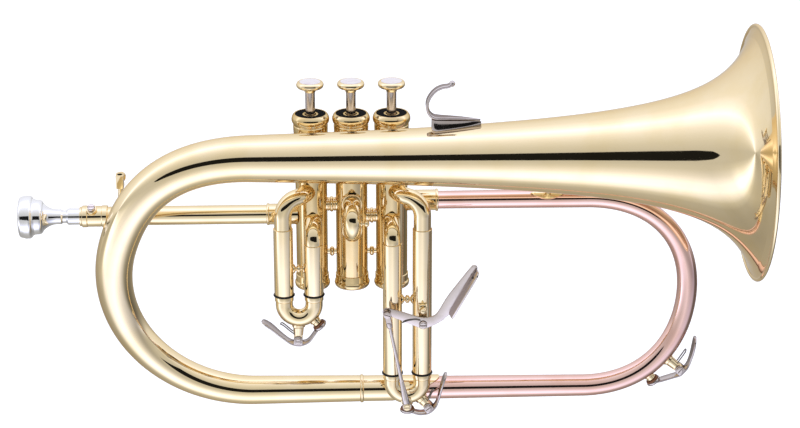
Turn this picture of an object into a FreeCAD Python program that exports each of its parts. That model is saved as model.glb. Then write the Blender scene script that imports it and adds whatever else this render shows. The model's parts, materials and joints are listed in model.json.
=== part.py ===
"""B-flat flugelhorn with three piston valves, drawn in millimetres.

+X runs from the mouthpiece to the bell mouth, +Z up along the valves to the finger buttons, and
the valve slides stand out towards -Y. The origin is on the axis of the middle valve, half-way up
its casing.
"""
import FreeCAD, Part
import math
import os

os.makedirs("parts", exist_ok=True)
V = FreeCAD.Vector
UP, RIGHT, FRONT = V(0, 0, 1), V(1, 0, 0), V(0, -1, 0)

# Driving dimensions
WALL = 0.5
FIT = 0.03                                  # radial clearance of everything that slides or turns

MOUTH_X = 239.2                             # bell mouth
MOUTH_R = 75.9
BELL_Y, BELL_Z = -32.0, 39.3                # bell axis
BELL_LEAD, BELL_POWER, BELL_OFFSET = 12.0, 0.44, 6.0    # law of the flare
BELL_FULLNESS = 0.45                        # the bow is this much fuller than the flare's law
BOW_BULGE = 2.4                             # how far the upper bow stands out of a half circle
BOW_X = -60.3                               # where the tail bow begins
BOTTOM_Z = -125.5                           # axis of the bottom tube, at Y = 0
TAIL_END_X = 4.4

ROSE_START_X, ROSE_BOW_X = 20.0, 144.0      # rose-brass branch
ROSE_START_R, ROSE_END_R = 7.3, 5.35
ROSE_BULGE = (2.6, 1.1)                     # the same for its bow, above and below
FERRULE_R = 8.1
EXIT_FERRULE_R = 6.35
EXIT_FERRULE_END = 52.5

VALVE_PITCH = 24.3
CASING_R, CASING_BORE = 9.6, 8.5
CASING_TOP, CASING_BOTTOM = 50.0, -53.6
PISTON_TOP, PISTON_BOTTOM = 49.9, -28.0
STEM_R = 2.95
BUTTON_Z = 72.2                             # underside of a finger button at rest
SPRING_R, SPRING_TURNS = 6.6, 7
PORT_R = 4.4                                # airway through ports and pistons
KNUCKLE_PORT_R = 3.4
MOUTHPIPE_Z = -8.0
KNUCKLE_Z = (-1.8, -9.4)                    # first to second valve, second to third
LINK_STAY_Z = -32.6                         # stays between the casings

TUBE_R = 5.27                               # valve slide tubing, outside
SLEEVE_R = 5.9
LAP = 2.0                                   # length of a branch inside its sleeve
SLIDE_Y = -20.0
SLIDE_LEGS = {1: (-41.6, -23.5), 3: (42.2, 24.1)}       # long leg, short leg
SLEEVE_FOOT = {1: -52.1, 3: -105.0}
SLEEVE_STAY = {1: -35.9, 3: -56.7}
CROOK_TOP = {1: -24.0, 3: -60.0}            # ends of the crooks' legs, inside the sleeves
CROOK_BOW = {1: -59.0, 3: -111.9}           # where the legs turn into the bow
LEG_GAP = 18.1                              # between the two legs of a crook
LONG_PORT_Z, SHORT_PORT_Z = 8.8, -9.6
LONG_TOP = {1: -9.7, 3: -10.8}              # top of the long leg's sleeve
SLIDE_2_TOP, SLIDE_2_GAP, SLIDE_2_BOW_Y = 3.1, 16.6, -18.0

MOUTHPIPE_R = 5.8
SHANK_R = 5.3
RECEIVER_X = -163.2                         # open end of the mouthpipe

TRIGGER_Y = -29.9                           # middle plane of the trigger lever
ROD_Y = -33.0
TRIGGER_PIVOT = V(42.3, TRIGGER_Y, -69.3)
ROD_TOP = V(20.4, ROD_Y, -60.8)
ROD_FOOT = V(32.5, ROD_Y, -122.6)
ROD_SLACK = 0.55                            # radial play of the rod on the lever's pin


# Shapes

def save(name, *pieces):
    solids = [solid for piece in pieces for solid in piece.Solids]
    shape = solids[0] if len(solids) == 1 else Part.makeCompound(solids)
    shape.exportStep("parts/%s.step" % name)


def bar(start, end, radius):
    span = end - start
    return Part.makeCylinder(radius, span.Length, start, span)


def lathe(start, direction, outline):
    """Turn an outline of (distance, radius) points about the axis that leaves start.

    An entry made of two points is an arc, through the first of them to the second.
    """
    edges = []
    first = here = V(outline[0][1], 0, outline[0][0])
    for entry in outline[1:]:
        if isinstance(entry[0], tuple):
            middle, there = [V(radius, 0, distance) for distance, radius in entry]
            edges.append(Part.Arc(here, middle, there).toShape())
        else:
            there = V(entry[1], 0, entry[0])
            edges.append(Part.makeLine(here, there))
        here = there
    if (here - first).Length > 0.001:
        edges.append(Part.makeLine(here, first))
    solid = Part.Face(Part.Wire(edges)).revolve(V(0, 0, 0), UP, 360)
    solid.Placement = FreeCAD.Placement(start, FreeCAD.Rotation(UP, direction))
    return solid


def bead(start, direction, inner, outer, width):
    """A ring with a half-round outside."""
    shoulder = (inner + outer) / 2
    return lathe(start, direction, [(0, inner), (0, shoulder),
                                    ((width / 2, outer), (width, shoulder)), (width, inner)])


def ring(start, direction, inner, outer, length):
    return lathe(start, direction, [(0, inner), (0, outer), (length, outer), (length, inner)])


def bent_path(points, radius):
    """Straight runs through the points, with every corner rounded."""
    edges = []
    here = points[0]
    for corner, after in zip(points[1:], points[2:]):
        back = (here - corner).normalize()
        ahead = (after - corner).normalize()
        half = back.getAngle(ahead) / 2
        trim = radius / math.tan(half)
        towards_centre = (back + ahead).normalize()
        middle = corner + towards_centre * (radius / math.sin(half) - radius)
        begin, end = corner + back * trim, corner + ahead * trim
        if (begin - here).Length > 0.01:
            edges.append(Part.makeLine(here, begin))
        edges.append(Part.Arc(begin, middle, end).toShape())
        here = end
    if (points[-1] - here).Length > 0.01:
        edges.append(Part.makeLine(here, points[-1]))
    return Part.Wire(edges)


def spline(points, start_along=None, end_along=None):
    curve = Part.BSplineCurve()
    if start_along is None:
        curve.interpolate(points)
    else:
        curve.interpolate(Points=points, InitialTangent=start_along, FinalTangent=end_along)
    return curve.toShape()


def sweep(path, start, along, radius):
    circle = Part.Wire(Part.makeCircle(radius, start, along))
    return path.makePipeShell([circle], True, True)


def tube(path, start, along, outer, inner):
    return sweep(path, start, along, outer).cut(sweep(path, start, along, inner))


def strap(points, thickness, width, middle_y=0.0):
    """A flat strap of even thickness, bent in the XZ plane along a smooth line of (x, z) points."""
    line = Part.BSplineCurve()
    line.interpolate([V(x, 0, z) for x, z in points])
    low, high = line.FirstParameter, line.LastParameter
    sides = ([], [])
    for step in range(25):
        at = low + (high - low) * step / 24
        across = line.tangent(at)[0].cross(V(0, 1, 0)).normalize() * (thickness / 2)
        sides[0].append(line.value(at) + across)
        sides[1].append(line.value(at) - across)
    one, other = spline(sides[0]), spline(sides[1])
    ends = []
    for at, index, sign in ((high, -1, 1), (low, 0, -1)):
        tip = line.value(at) + line.tangent(at)[0].normalize() * (sign * thickness / 2)
        ends.append(Part.Arc(sides[0][index], tip, sides[1][index]).toShape())
    face = Part.Face(Part.Wire(Part.__sortEdges__([one, ends[0], other, ends[1]])))
    face.translate(V(0, middle_y - width / 2, 0))
    return face.extrude(V(0, width, 0))


def spring(foot, height, radius, wire_radius, turns):
    """A helix of eight-sided wire that stands on foot."""
    helix = Part.makeHelix(height / turns, height, radius)
    sides = 8
    corners = []
    for side in range(sides + 1):
        angle = 2 * math.pi * (side + 0.5) / sides
        corners.append(V(radius + wire_radius * math.cos(angle), 0, wire_radius * math.sin(angle)))
    wire = Part.Wire(helix).makePipeShell([Part.makePolygon(corners)], True, True)
    wire.translate(foot)
    return wire


def prism(edges, along):
    return Part.Face(Part.Wire(Part.__sortEdges__(edges))).extrude(along)


def polygon(points):
    return [Part.makeLine(a, b) for a, b in zip(points, points[1:] + points[:1])]


def slotted_screw(tip, direction, shank, head, length, head_height):
    """A screw from its tip to its slotted head."""
    body = lathe(tip, direction, [(0, 0), (0, shank), (length, shank), (length, head),
                                  (length + head_height * 0.6, head),
                                  ((length + head_height * 0.9, head * 0.85),
                                   (length + head_height, head * 0.55)), (length + head_height, 0)])
    slot = Part.makeBox(head * 2.4, 0.7, head_height, V(-head * 1.2, -0.35, length + head_height * 0.5))
    slot.Placement = FreeCAD.Placement(tip, FreeCAD.Rotation(UP, direction)).multiply(slot.Placement)
    return body.cut(slot)


def turned_stay(start, end, foot, neck):
    """A stay turned like a baluster: a flange at each end and a round bead half-way."""
    span = end - start
    length = span.Length
    flange = min(1.0, length / 5)
    middle = length / 2
    swell = min(1.3, length / 5)
    return lathe(start, span, [
        (0, 0), (0, foot), (flange * 0.5, foot),
        ((flange, foot * 0.8), (flange * 1.5, neck)), (middle - swell, neck),
        ((middle, neck + swell), (middle + swell, neck)), (length - flange * 1.5, neck),
        ((length - flange, foot * 0.8), (length - flange * 0.5, foot)), (length, foot), (length, 0)])


# Bell

BOW_TOP = V(BOW_X, BELL_Y, BELL_Z)
BOW_FOOT = V(BOW_X, 0, BOTTOM_Z)
BOW_CENTRE = (BOW_TOP + BOW_FOOT) * 0.5
BOW_R = (BOW_TOP - BOW_FOOT).Length / 2
BOW_UP = (BOW_TOP - BOW_CENTRE).normalize()
BOW_START_RUN = MOUTH_X - BOW_X
BOW_END_RUN = BOW_START_RUN + math.pi * BOW_R


def bell_radius(run):
    """Outside radius at a distance from the mouth along the centreline."""
    gain = (MOUTH_R + BELL_OFFSET) * BELL_LEAD ** BELL_POWER
    share = (run - 200) / (BOW_END_RUN - 200)
    fuller = BELL_FULLNESS * math.sin(math.pi * share) if 0 < share < 1 else 0
    return gain * (run + BELL_LEAD) ** -BELL_POWER - BELL_OFFSET + fuller


def bulge(angle, span, height):
    """A smooth swelling of a bow's radius over the first span of its turn."""
    return height * math.sin(math.pi * angle / span) ** 2 if 0 < angle < span else 0


def heading(point_at, angle, last):
    """Direction of travel along a bow; its ends run straight on."""
    if angle < 0.001 or angle > last - 0.001:
        return RIGHT * (-1 if point_at(0.1).x < point_at(0).x else 1) * (1 if angle < 0.001 else -1)
    return (point_at(angle + 0.001) - point_at(angle - 0.001)).normalize()


def bow_point(angle):
    """Centre of the tail bow, by the angle turned from its top."""
    radius = BOW_R + bulge(angle, math.radians(75), BOW_BULGE)
    return BOW_CENTRE + BOW_UP * (radius * math.cos(angle)) - RIGHT * (radius * math.sin(angle))


def bow_station(run):
    """Centre and direction of the tail bow at a distance from the mouth."""
    angle = (run - BOW_START_RUN) / BOW_R
    return bow_point(angle), heading(bow_point, angle, math.pi)


def tapered(stations, radii, side):
    """A solid through circles; side keeps their seams in line."""
    rings = []
    for (centre, along), radius in zip(stations, radii):
        turn = FreeCAD.Rotation(side, along.cross(side), along, "ZXY")
        circle = Part.makeCircle(radius)
        circle.Placement = FreeCAD.Placement(centre, turn)
        rings.append(Part.Wire(circle))
    return Part.makeLoft(rings, True)


def flare(offset):
    """The straight part of the bell as a solid, its radius changed by the offset."""
    runs = [0, 3, 7, 12, 18, 26, 36, 50, 70, 100, 140, 200, 250, BOW_START_RUN]
    edge = spline([V(bell_radius(run) + offset, 0, run) for run in runs])
    top, foot = V(0, 0, 0), V(0, 0, BOW_START_RUN)
    edges = [edge, Part.makeLine(top, V(bell_radius(0) + offset, 0, 0)),
             Part.makeLine(V(bell_radius(BOW_START_RUN) + offset, 0, BOW_START_RUN), foot),
             Part.makeLine(top, foot)]
    solid = Part.Face(Part.Wire(Part.__sortEdges__(edges))).revolve(top, UP, 360)
    solid.Placement = FreeCAD.Placement(V(MOUTH_X, BELL_Y, BELL_Z), FreeCAD.Rotation(UP, RIGHT * -1))
    return solid


def tail(offset):
    """The bow and the bottom run of the bell as a solid."""
    runs = [BOW_START_RUN + (BOW_END_RUN - BOW_START_RUN) * step / 16 for step in range(17)]
    side = BOW_UP.cross(RIGHT).normalize()
    bow = tapered([bow_station(run) for run in runs], [bell_radius(run) + offset for run in runs], side)
    length = TAIL_END_X - BOW_X
    cone = Part.makeCone(bell_radius(BOW_END_RUN) + offset, bell_radius(BOW_END_RUN + length) + offset,
                         length, BOW_FOOT, RIGHT)
    return bow.fuse(cone)


def make_bell():
    """One tube from the mouth to the bottom ferrule, with the wire bead of its mouth.

    The bead is flattened in front, so that the horn stands on its bell.
    """
    rim = lathe(V(MOUTH_X - 1.6, BELL_Y, BELL_Z), RIGHT, [
        (0, MOUTH_R - 3.2), (0.2, MOUTH_R - 0.4), ((1.2, MOUTH_R + 0.5), (2.4, MOUTH_R - 0.2)),
        (2.4, MOUTH_R - 2.4)])
    straight = flare(0).cut(flare(-WALL)).fuse(rim)
    save("bell", straight.fuse(tail(0).cut(tail(-WALL))))


def make_ferrules():
    axis = V(TAIL_END_X, 0, BOTTOM_Z)
    sleeve = ring(axis, RIGHT, ROSE_START_R, FERRULE_R, 56)
    lap = polygon([V(0, -20, -136), V(18, -20, -136), V(58.9, -20, -115), V(0, -20, -115)])
    sleeve = sleeve.common(prism(lap, V(0, 40, 0)))
    save("bell_tail_ferrule", sleeve.fuse(bead(axis, RIGHT, ROSE_START_R, FERRULE_R + 0.8, 2.2)))
    socket = ring(V(VALVE_PITCH, 0, 0), RIGHT, rose_radius(rose_length()), EXIT_FERRULE_R,
                  EXIT_FERRULE_END - VALVE_PITCH)
    socket = socket.cut(casing_blank(VALVE_PITCH))
    end = bead(V(EXIT_FERRULE_END - 1.6, 0, 0), RIGHT, EXIT_FERRULE_R - 0.3, EXIT_FERRULE_R + 0.5, 1.6)
    save("exit_ferrule", socket.fuse(end).cut(rose_solid(0)))


# Rose-brass branch

ROSE_BOW_R = -BOTTOM_Z / 2
ROSE_CENTRE = V(ROSE_BOW_X, 0, BOTTOM_Z / 2)
ROSE_END_X = EXIT_FERRULE_END - 14


def rose_length():
    return (ROSE_BOW_X - ROSE_START_X) + math.pi * ROSE_BOW_R + (ROSE_BOW_X - ROSE_END_X)


def rose_radius(run):
    return ROSE_START_R + (ROSE_END_R - ROSE_START_R) * run / rose_length()


def rose_point(turn):
    """Centre of the rose-brass bow, by the angle turned from its foot."""
    radius = ROSE_BOW_R + bulge(turn, math.radians(80), ROSE_BULGE[1])
    radius += bulge(math.pi - turn, math.radians(100), ROSE_BULGE[0])
    return ROSE_CENTRE + V(math.sin(turn), 0, -math.cos(turn)) * radius


def rose_station(run):
    """Centre and direction of the branch at a distance from its start inside the ferrule."""
    if run <= 0:
        return V(ROSE_START_X, 0, BOTTOM_Z), RIGHT
    turn = (run - (ROSE_BOW_X - ROSE_START_X)) / ROSE_BOW_R
    return rose_point(turn), heading(rose_point, turn, math.pi)


def rose_solid(offset):
    start, end = ROSE_BOW_X - ROSE_START_X, rose_length() - (ROSE_BOW_X - ROSE_END_X)
    runs = [start + (end - start) * step / 14 for step in range(15)]
    stations = [rose_station(run) for run in runs]
    bow = tapered(stations, [rose_radius(run) + offset for run in runs], V(0, 1, 0))
    cones = [Part.makeCone(rose_radius(low) + offset, rose_radius(high) + offset, high - low,
                           rose_station(low)[0], way)
             for low, high, way in ((0, start, RIGHT), (end, rose_length(), RIGHT * -1))]
    return bow.fuse(cones)


def make_rose_branch():
    save("rose_branch", rose_solid(0).cut(rose_solid(-WALL)))


# Valves

def casing_blank(x, radius=CASING_R):
    return bar(V(x, 0, CASING_BOTTOM), V(x, 0, CASING_TOP), radius)


def port_starts(index):
    """Every port of a valve: the direction it leaves in, its height and its radius."""
    x = VALVE_PITCH * (index - 2)
    left = (RIGHT * -1, (MOUTHPIPE_Z,) + KNUCKLE_Z, (PORT_R, KNUCKLE_PORT_R, KNUCKLE_PORT_R))
    right = (RIGHT, KNUCKLE_Z + (0,), (KNUCKLE_PORT_R, KNUCKLE_PORT_R, PORT_R))
    ports = [(way, heights[index - 1], radii[index - 1]) for way, heights, radii in (left, right)]
    if index == 2:
        slide = [(FRONT, SLIDE_2_TOP), (FRONT, SLIDE_2_TOP - SLIDE_2_GAP)]
    else:
        slide = [(long_port_way(x), LONG_PORT_Z), (FRONT, SHORT_PORT_Z)]
    return ports + [(way, height, PORT_R) for way, height in slide]


def long_port_way(x):
    """The long branch of an outer valve leaves forwards and a little outwards."""
    return V(math.copysign(0.35, x), -1, 0).normalize()


def make_valve(index):
    x = VALVE_PITCH * (index - 2)
    ports = port_starts(index)
    travel = 13.0
    casing = casing_blank(x).cut(casing_blank(x, CASING_BORE))
    for way, height, radius in ports:
        start = V(x, 0, height)
        casing = casing.cut(bar(start, start + way * 12, radius))
    save("casing_%d" % index, casing)

    # The passages: straight across at rest; pressed, in to the slide and back out of it.
    def centre(height_1, height_2):
        return V(x, 0, (height_1 + height_2) / 2)

    inlet, outlet, upper, lower = ports
    passages = []
    for one, other, shift in ((inlet, outlet, 0), (inlet, upper, travel), (outlet, lower, travel)):
        meet = centre(one[1], other[1]) + UP * shift
        for way, height, radius in (one, other):
            passages.append((meet, V(x, 0, height + shift) + way * 12, radius))
        passages.append((meet, meet, max(one[2], other[2])))
    radius = CASING_BORE - FIT
    blank = bar(V(x, 0, PISTON_BOTTOM), V(x, 0, PISTON_TOP), radius)
    piston = lathe(V(x, 0, 0), UP, [
        (PISTON_BOTTOM, 3.5), (PISTON_BOTTOM, radius), (PISTON_TOP, radius), (PISTON_TOP, STEM_R),
        (BUTTON_Z, STEM_R), (BUTTON_Z, 0), (PISTON_TOP - 2, 0), (PISTON_TOP - 2, radius - 0.9),
        (PISTON_BOTTOM + 1.5, radius - 0.9), (PISTON_BOTTOM + 1.5, 3.5)])
    linings, airways = [], []
    for start, end, bore in passages:
        if start == end:
            linings.append(Part.makeSphere(bore + WALL, start))
            airways.append(Part.makeSphere(bore, start))
        else:
            linings.append(bar(start, end, bore + WALL))
            airways.append(bar(start, end, bore))
    piston = piston.fuse([lining.common(blank) for lining in linings])
    for airway in airways:
        piston = piston.cut(airway)
    save("piston_%d" % index, piston)

    top = V(x, 0, CASING_TOP)
    save("top_cap_%d" % index, lathe(top, UP, [
        (-5.6, CASING_R), (-5.6, 10.3), (-1.0, 10.45), (-0.6, 10.15), (0, 10.3),
        ((3.2, 11.35), (6.0, 10.1)), ((6.3, 9.7), (6.2, 9.2)), (5.2, 9.2), (5.2, 4.7), (5.9, 4.7),
        (5.9, STEM_R + 0.6), (2.5, STEM_R + 0.6), (2.5, 8.6), (0, 8.6), (0, CASING_R)]))
    bottom = V(x, 0, CASING_BOTTOM)
    save("bottom_cap_%d" % index, lathe(bottom, UP, [
        (-1.6, 2.0), (-1.6, 8.4), ((-1.4, 9.7), (0.2, 10.65)), ((1.9, 10.6), (2.6, 10.1)),
        (6.6, 10.1), (7.0, CASING_R), (0, CASING_R), (0, 2.0)]))
    save("button_%d" % index, lathe(V(x, 0, BUTTON_Z), UP, [
        (-2.4, STEM_R), (-2.4, 3.7), (-0.6, 3.9), ((-0.1, 4.3), (0, 5.6)),
        ((2.0, 8.25), (4.0, 6.9)), (4.0, 6.3), (3.2, 6.3), (3.2, 0), (0, 0), (0, STEM_R)]))
    save("pearl_%d" % index, lathe(V(x, 0, BUTTON_Z + 3.2), UP, [
        (0, 0), (0, 6.3), (0.9, 6.3), ((1.15, 4.2), (1.2, 2.0)), (1.2, 0)]))
    floor = V(x, 0, CASING_BOTTOM + 0.7)
    height = PISTON_BOTTOM - floor.z - 0.7
    save("valve_spring_%d" % index, spring(floor, height, SPRING_R, 0.45, SPRING_TURNS))


def make_felts():
    """Above, the black ring that shows in each cap; below it, the washer that the piston meets."""
    rings = []
    for index in (-1, 0, 1):
        axis = V(VALVE_PITCH * index, 0, CASING_TOP)
        rings.append(ring(axis + UP * 5.2, UP, 4.7, 9.2, 0.7))
        rings.append(ring(axis + UP * 0.2, UP, STEM_R + 0.6, 8.2, 2.3))
    save("cap_felts", *rings)


def make_valve_links():
    """The port knuckles and the lower stays between neighbouring casings."""
    pieces = []
    for index, height in enumerate(KNUCKLE_Z):
        middle = V(VALVE_PITCH * (index - 0.5), 0, height)
        start = middle - RIGHT * (VALVE_PITCH / 2)
        outer = KNUCKLE_PORT_R + WALL
        neck = ring(start, RIGHT, KNUCKLE_PORT_R, outer, VALVE_PITCH)
        collars = [bead(middle + RIGHT * shift, RIGHT, KNUCKLE_PORT_R, outer + extra, width)
                   for shift, extra, width in ((-1.0, 0.9, 2.0), (-2.5, 0.4, 1.3), (1.2, 0.4, 1.3))]
        knuckle = neck.fuse(collars)
        low = V(middle.x, 0, LINK_STAY_Z)
        stay = turned_stay(low - RIGHT * 6, low + RIGHT * 6, 3.4, 1.7)
        for piece in (knuckle, stay):
            for x in (start.x, start.x + VALVE_PITCH):
                piece = piece.cut(casing_blank(x))
            pieces.append(piece)
    save("valve_links", *pieces)


# Valve slides

def long_branch(index):
    """Centreline from an outer valve's upper port round to the top of its long leg."""
    casing_x, leg_x = VALVE_PITCH * (index - 2), SLIDE_LEGS[index][0]
    way = long_port_way(casing_x)
    start = V(casing_x, 0, LONG_PORT_Z)
    shoulder = V(casing_x + (leg_x - casing_x) * 0.86, SLIDE_Y + 1.0, LONG_PORT_Z - 1.5)
    corners = [start + way * 14.8, shoulder, V(leg_x, SLIDE_Y, LONG_PORT_Z - 9.8)]
    return bent_path([start] + corners + [V(leg_x, SLIDE_Y, LONG_TOP[index] - LAP)], 10.0), start, way


def sleeve(top, along, length):
    """Outer tube of one leg, with a rounded line where it laps the branch."""
    return lathe(top, along, [
        (0, TUBE_R - 0.1), (0, SLEEVE_R - 0.3), ((0.1, SLEEVE_R - 0.1), (0.4, SLEEVE_R)),
        (length, SLEEVE_R), (length, TUBE_R + FIT), (LAP, TUBE_R + FIT), (LAP, TUBE_R - 0.1)])


def make_sleeves(index):
    """Both fixed branches of an outer valve's slide, with their sleeves and the stay between them."""
    casing_x = VALVE_PITCH * (index - 2)
    long_x, short_x = SLIDE_LEGS[index]
    foot, stay_z = SLEEVE_FOOT[index], SLEEVE_STAY[index]
    path, start, way = long_branch(index)
    bend_radius = -SLIDE_Y - CASING_R
    long_top = LONG_TOP[index]
    short_top = SHORT_PORT_Z - bend_radius
    short_start = V(short_x, 0, SHORT_PORT_Z)
    bend = bent_path([short_start, V(short_x, SLIDE_Y, SHORT_PORT_Z), V(short_x, SLIDE_Y, short_top - LAP)],
                     bend_radius)
    inner = TUBE_R - WALL
    body = tube(path, start, way, TUBE_R, inner)
    body = body.fuse(tube(bend, short_start, FRONT, TUBE_R, inner))
    body = body.cut(casing_blank(casing_x))
    for x, top in ((long_x, long_top), (short_x, short_top)):
        body = body.fuse(sleeve(V(x, SLIDE_Y, top), UP * -1, top - foot))
    low, high = sorted((long_x, short_x))
    stay = turned_stay(V(low + SLEEVE_R - 0.2, SLIDE_Y, stay_z), V(high - SLEEVE_R + 0.2, SLIDE_Y, stay_z),
                       2.9, 1.3)
    save("slide_%d_sleeves" % index, body.fuse(stay))


def crook_path(start, along, across, leg):
    """Down one leg, round the bow and up the other leg."""
    radius = across.Length / 2
    turn = start + along * leg
    far = start + across
    arc = Part.Arc(turn, turn + across * 0.5 + along * radius, far + along * leg)
    return Part.Wire([Part.makeLine(start, turn), arc.toShape(), Part.makeLine(far + along * leg, far)])


def make_crook(name, start, along, across, leg, seat, knob=None):
    """Moving part of a slide; seat is how far down the legs the sleeves end."""
    body = tube(crook_path(start, along, across, leg), start, along, TUBE_R, TUBE_R - WALL)
    for top in (start, start + across):
        body = body.fuse(lathe(top + along * seat, along, [
            (0, TUBE_R - 0.1), (0, SLEEVE_R - 0.15), (2.8, SLEEVE_R - 0.15), (3.4, TUBE_R - 0.1)]))
    if knob:
        body = body.fuse(knob)
    save(name, body)


def make_outer_slide(index):
    """First or third slide: it hangs in front of its valve."""
    foot, leg_top, bow_z = SLEEVE_FOOT[index], CROOK_TOP[index], CROOK_BOW[index]
    down = UP * -1
    left = min(SLIDE_LEGS[index])
    start = V(left, SLIDE_Y, leg_top)
    make_sleeves(index)
    make_crook("slide_%d_crook" % index, start, down, RIGHT * LEG_GAP, leg_top - bow_z, leg_top - foot + 1.3)
    rings = [bead(V(x, SLIDE_Y, foot - 0.05), down, TUBE_R, SLEEVE_R + 0.65, 1.2) for x in SLIDE_LEGS[index]]
    save("slide_%d_rings" % index, *rings)


def make_middle_slide():
    """Second slide: a short bow that points forwards, with a turned knob on its side."""
    lip = 5.8
    tops = [V(0, 0, SLIDE_2_TOP), V(0, 0, SLIDE_2_TOP - SLIDE_2_GAP)]
    pieces = []
    for top in tops:
        wall = ring(top, FRONT, TUBE_R + FIT, SLEEVE_R, CASING_R + lip)
        pieces.append(wall.cut(casing_blank(0)))
    save("slide_2_sleeves", *pieces)
    start = V(0, -CASING_R - 0.6, SLIDE_2_TOP)
    leg = start.y - SLIDE_2_BOW_Y
    side = V(TUBE_R - 0.3, SLIDE_2_BOW_Y - SLIDE_2_GAP / 2 + 1, SLIDE_2_TOP - SLIDE_2_GAP / 2)
    knob = lathe(side, RIGHT, [(0, 0), (0, 1.9), (0.6, 1.9), ((1.0, 1.6), (1.3, 1.0)), (1.9, 1.0),
                               ((3.6, 2.1), (5.2, 0.8)), (5.3, 0)])
    make_crook("slide_2_crook", start, FRONT, UP * -SLIDE_2_GAP, leg, lip - 0.5, knob)


# Water keys. Each is drawn about its hinge: +X to the tip that the finger presses, +Z away from the bow.

class WaterKey:
    """Where one water key sits: its hinge, its bow and the turn from the post to the nipple."""

    def __init__(self, name, hinge, bow_centre, bow_radius, tube_radius, nipple_turn, side, tail_rise):
        self.name = name
        self.side = side
        self.tail_rise = tail_rise
        self.out = (hinge - bow_centre).normalize()
        self.reach = (hinge - bow_centre).Length
        self.skin = bow_radius + tube_radius
        self.turn = math.radians(nipple_turn)
        self.tail = V(self.out.z, 0, -self.out.x) * side
        rotation = FreeCAD.Rotation(self.tail, self.out.cross(self.tail), self.out, "ZXY")
        self.place = FreeCAD.Placement(hinge, rotation)
        self.bow = Part.makeTorus(bow_radius, tube_radius, bow_centre, V(0, 1, 0))

    def nipple_point(self, height):
        """A point on the nipple's axis, by its height over the tube."""
        far = self.skin + height
        return V(-math.sin(self.turn) * far, 0, math.cos(self.turn) * far - self.reach)

    def nipple_way(self):
        return V(-math.sin(self.turn), 0, math.cos(self.turn))

    def put(self, shape):
        shape.Placement = self.place.multiply(shape.Placement)
        return shape


def crook_centre(index):
    return V(sum(SLIDE_LEGS[index]) / 2, SLIDE_Y, CROOK_BOW[index])


WATER_KEYS = [
    WaterKey("1", V(-33.5, SLIDE_Y, -82.0), crook_centre(1), LEG_GAP / 2, TUBE_R, 43, 1, 0),
    WaterKey("3", V(45.9, SLIDE_Y, -128.6), crook_centre(3), LEG_GAP / 2, TUBE_R, 37, -1, 0.6),
    WaterKey("main", V(204.2, 0, -114.7), ROSE_CENTRE, ROSE_BOW_R + 0.9, 6.5, 12.8, -1, 4.6)]


NIPPLE_HEIGHT = 3.0
CORK_R, CORK_THICK = 4.0, 1.9
HINGE_HALF = 2.5                            # half the width of the post at the hinge


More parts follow.
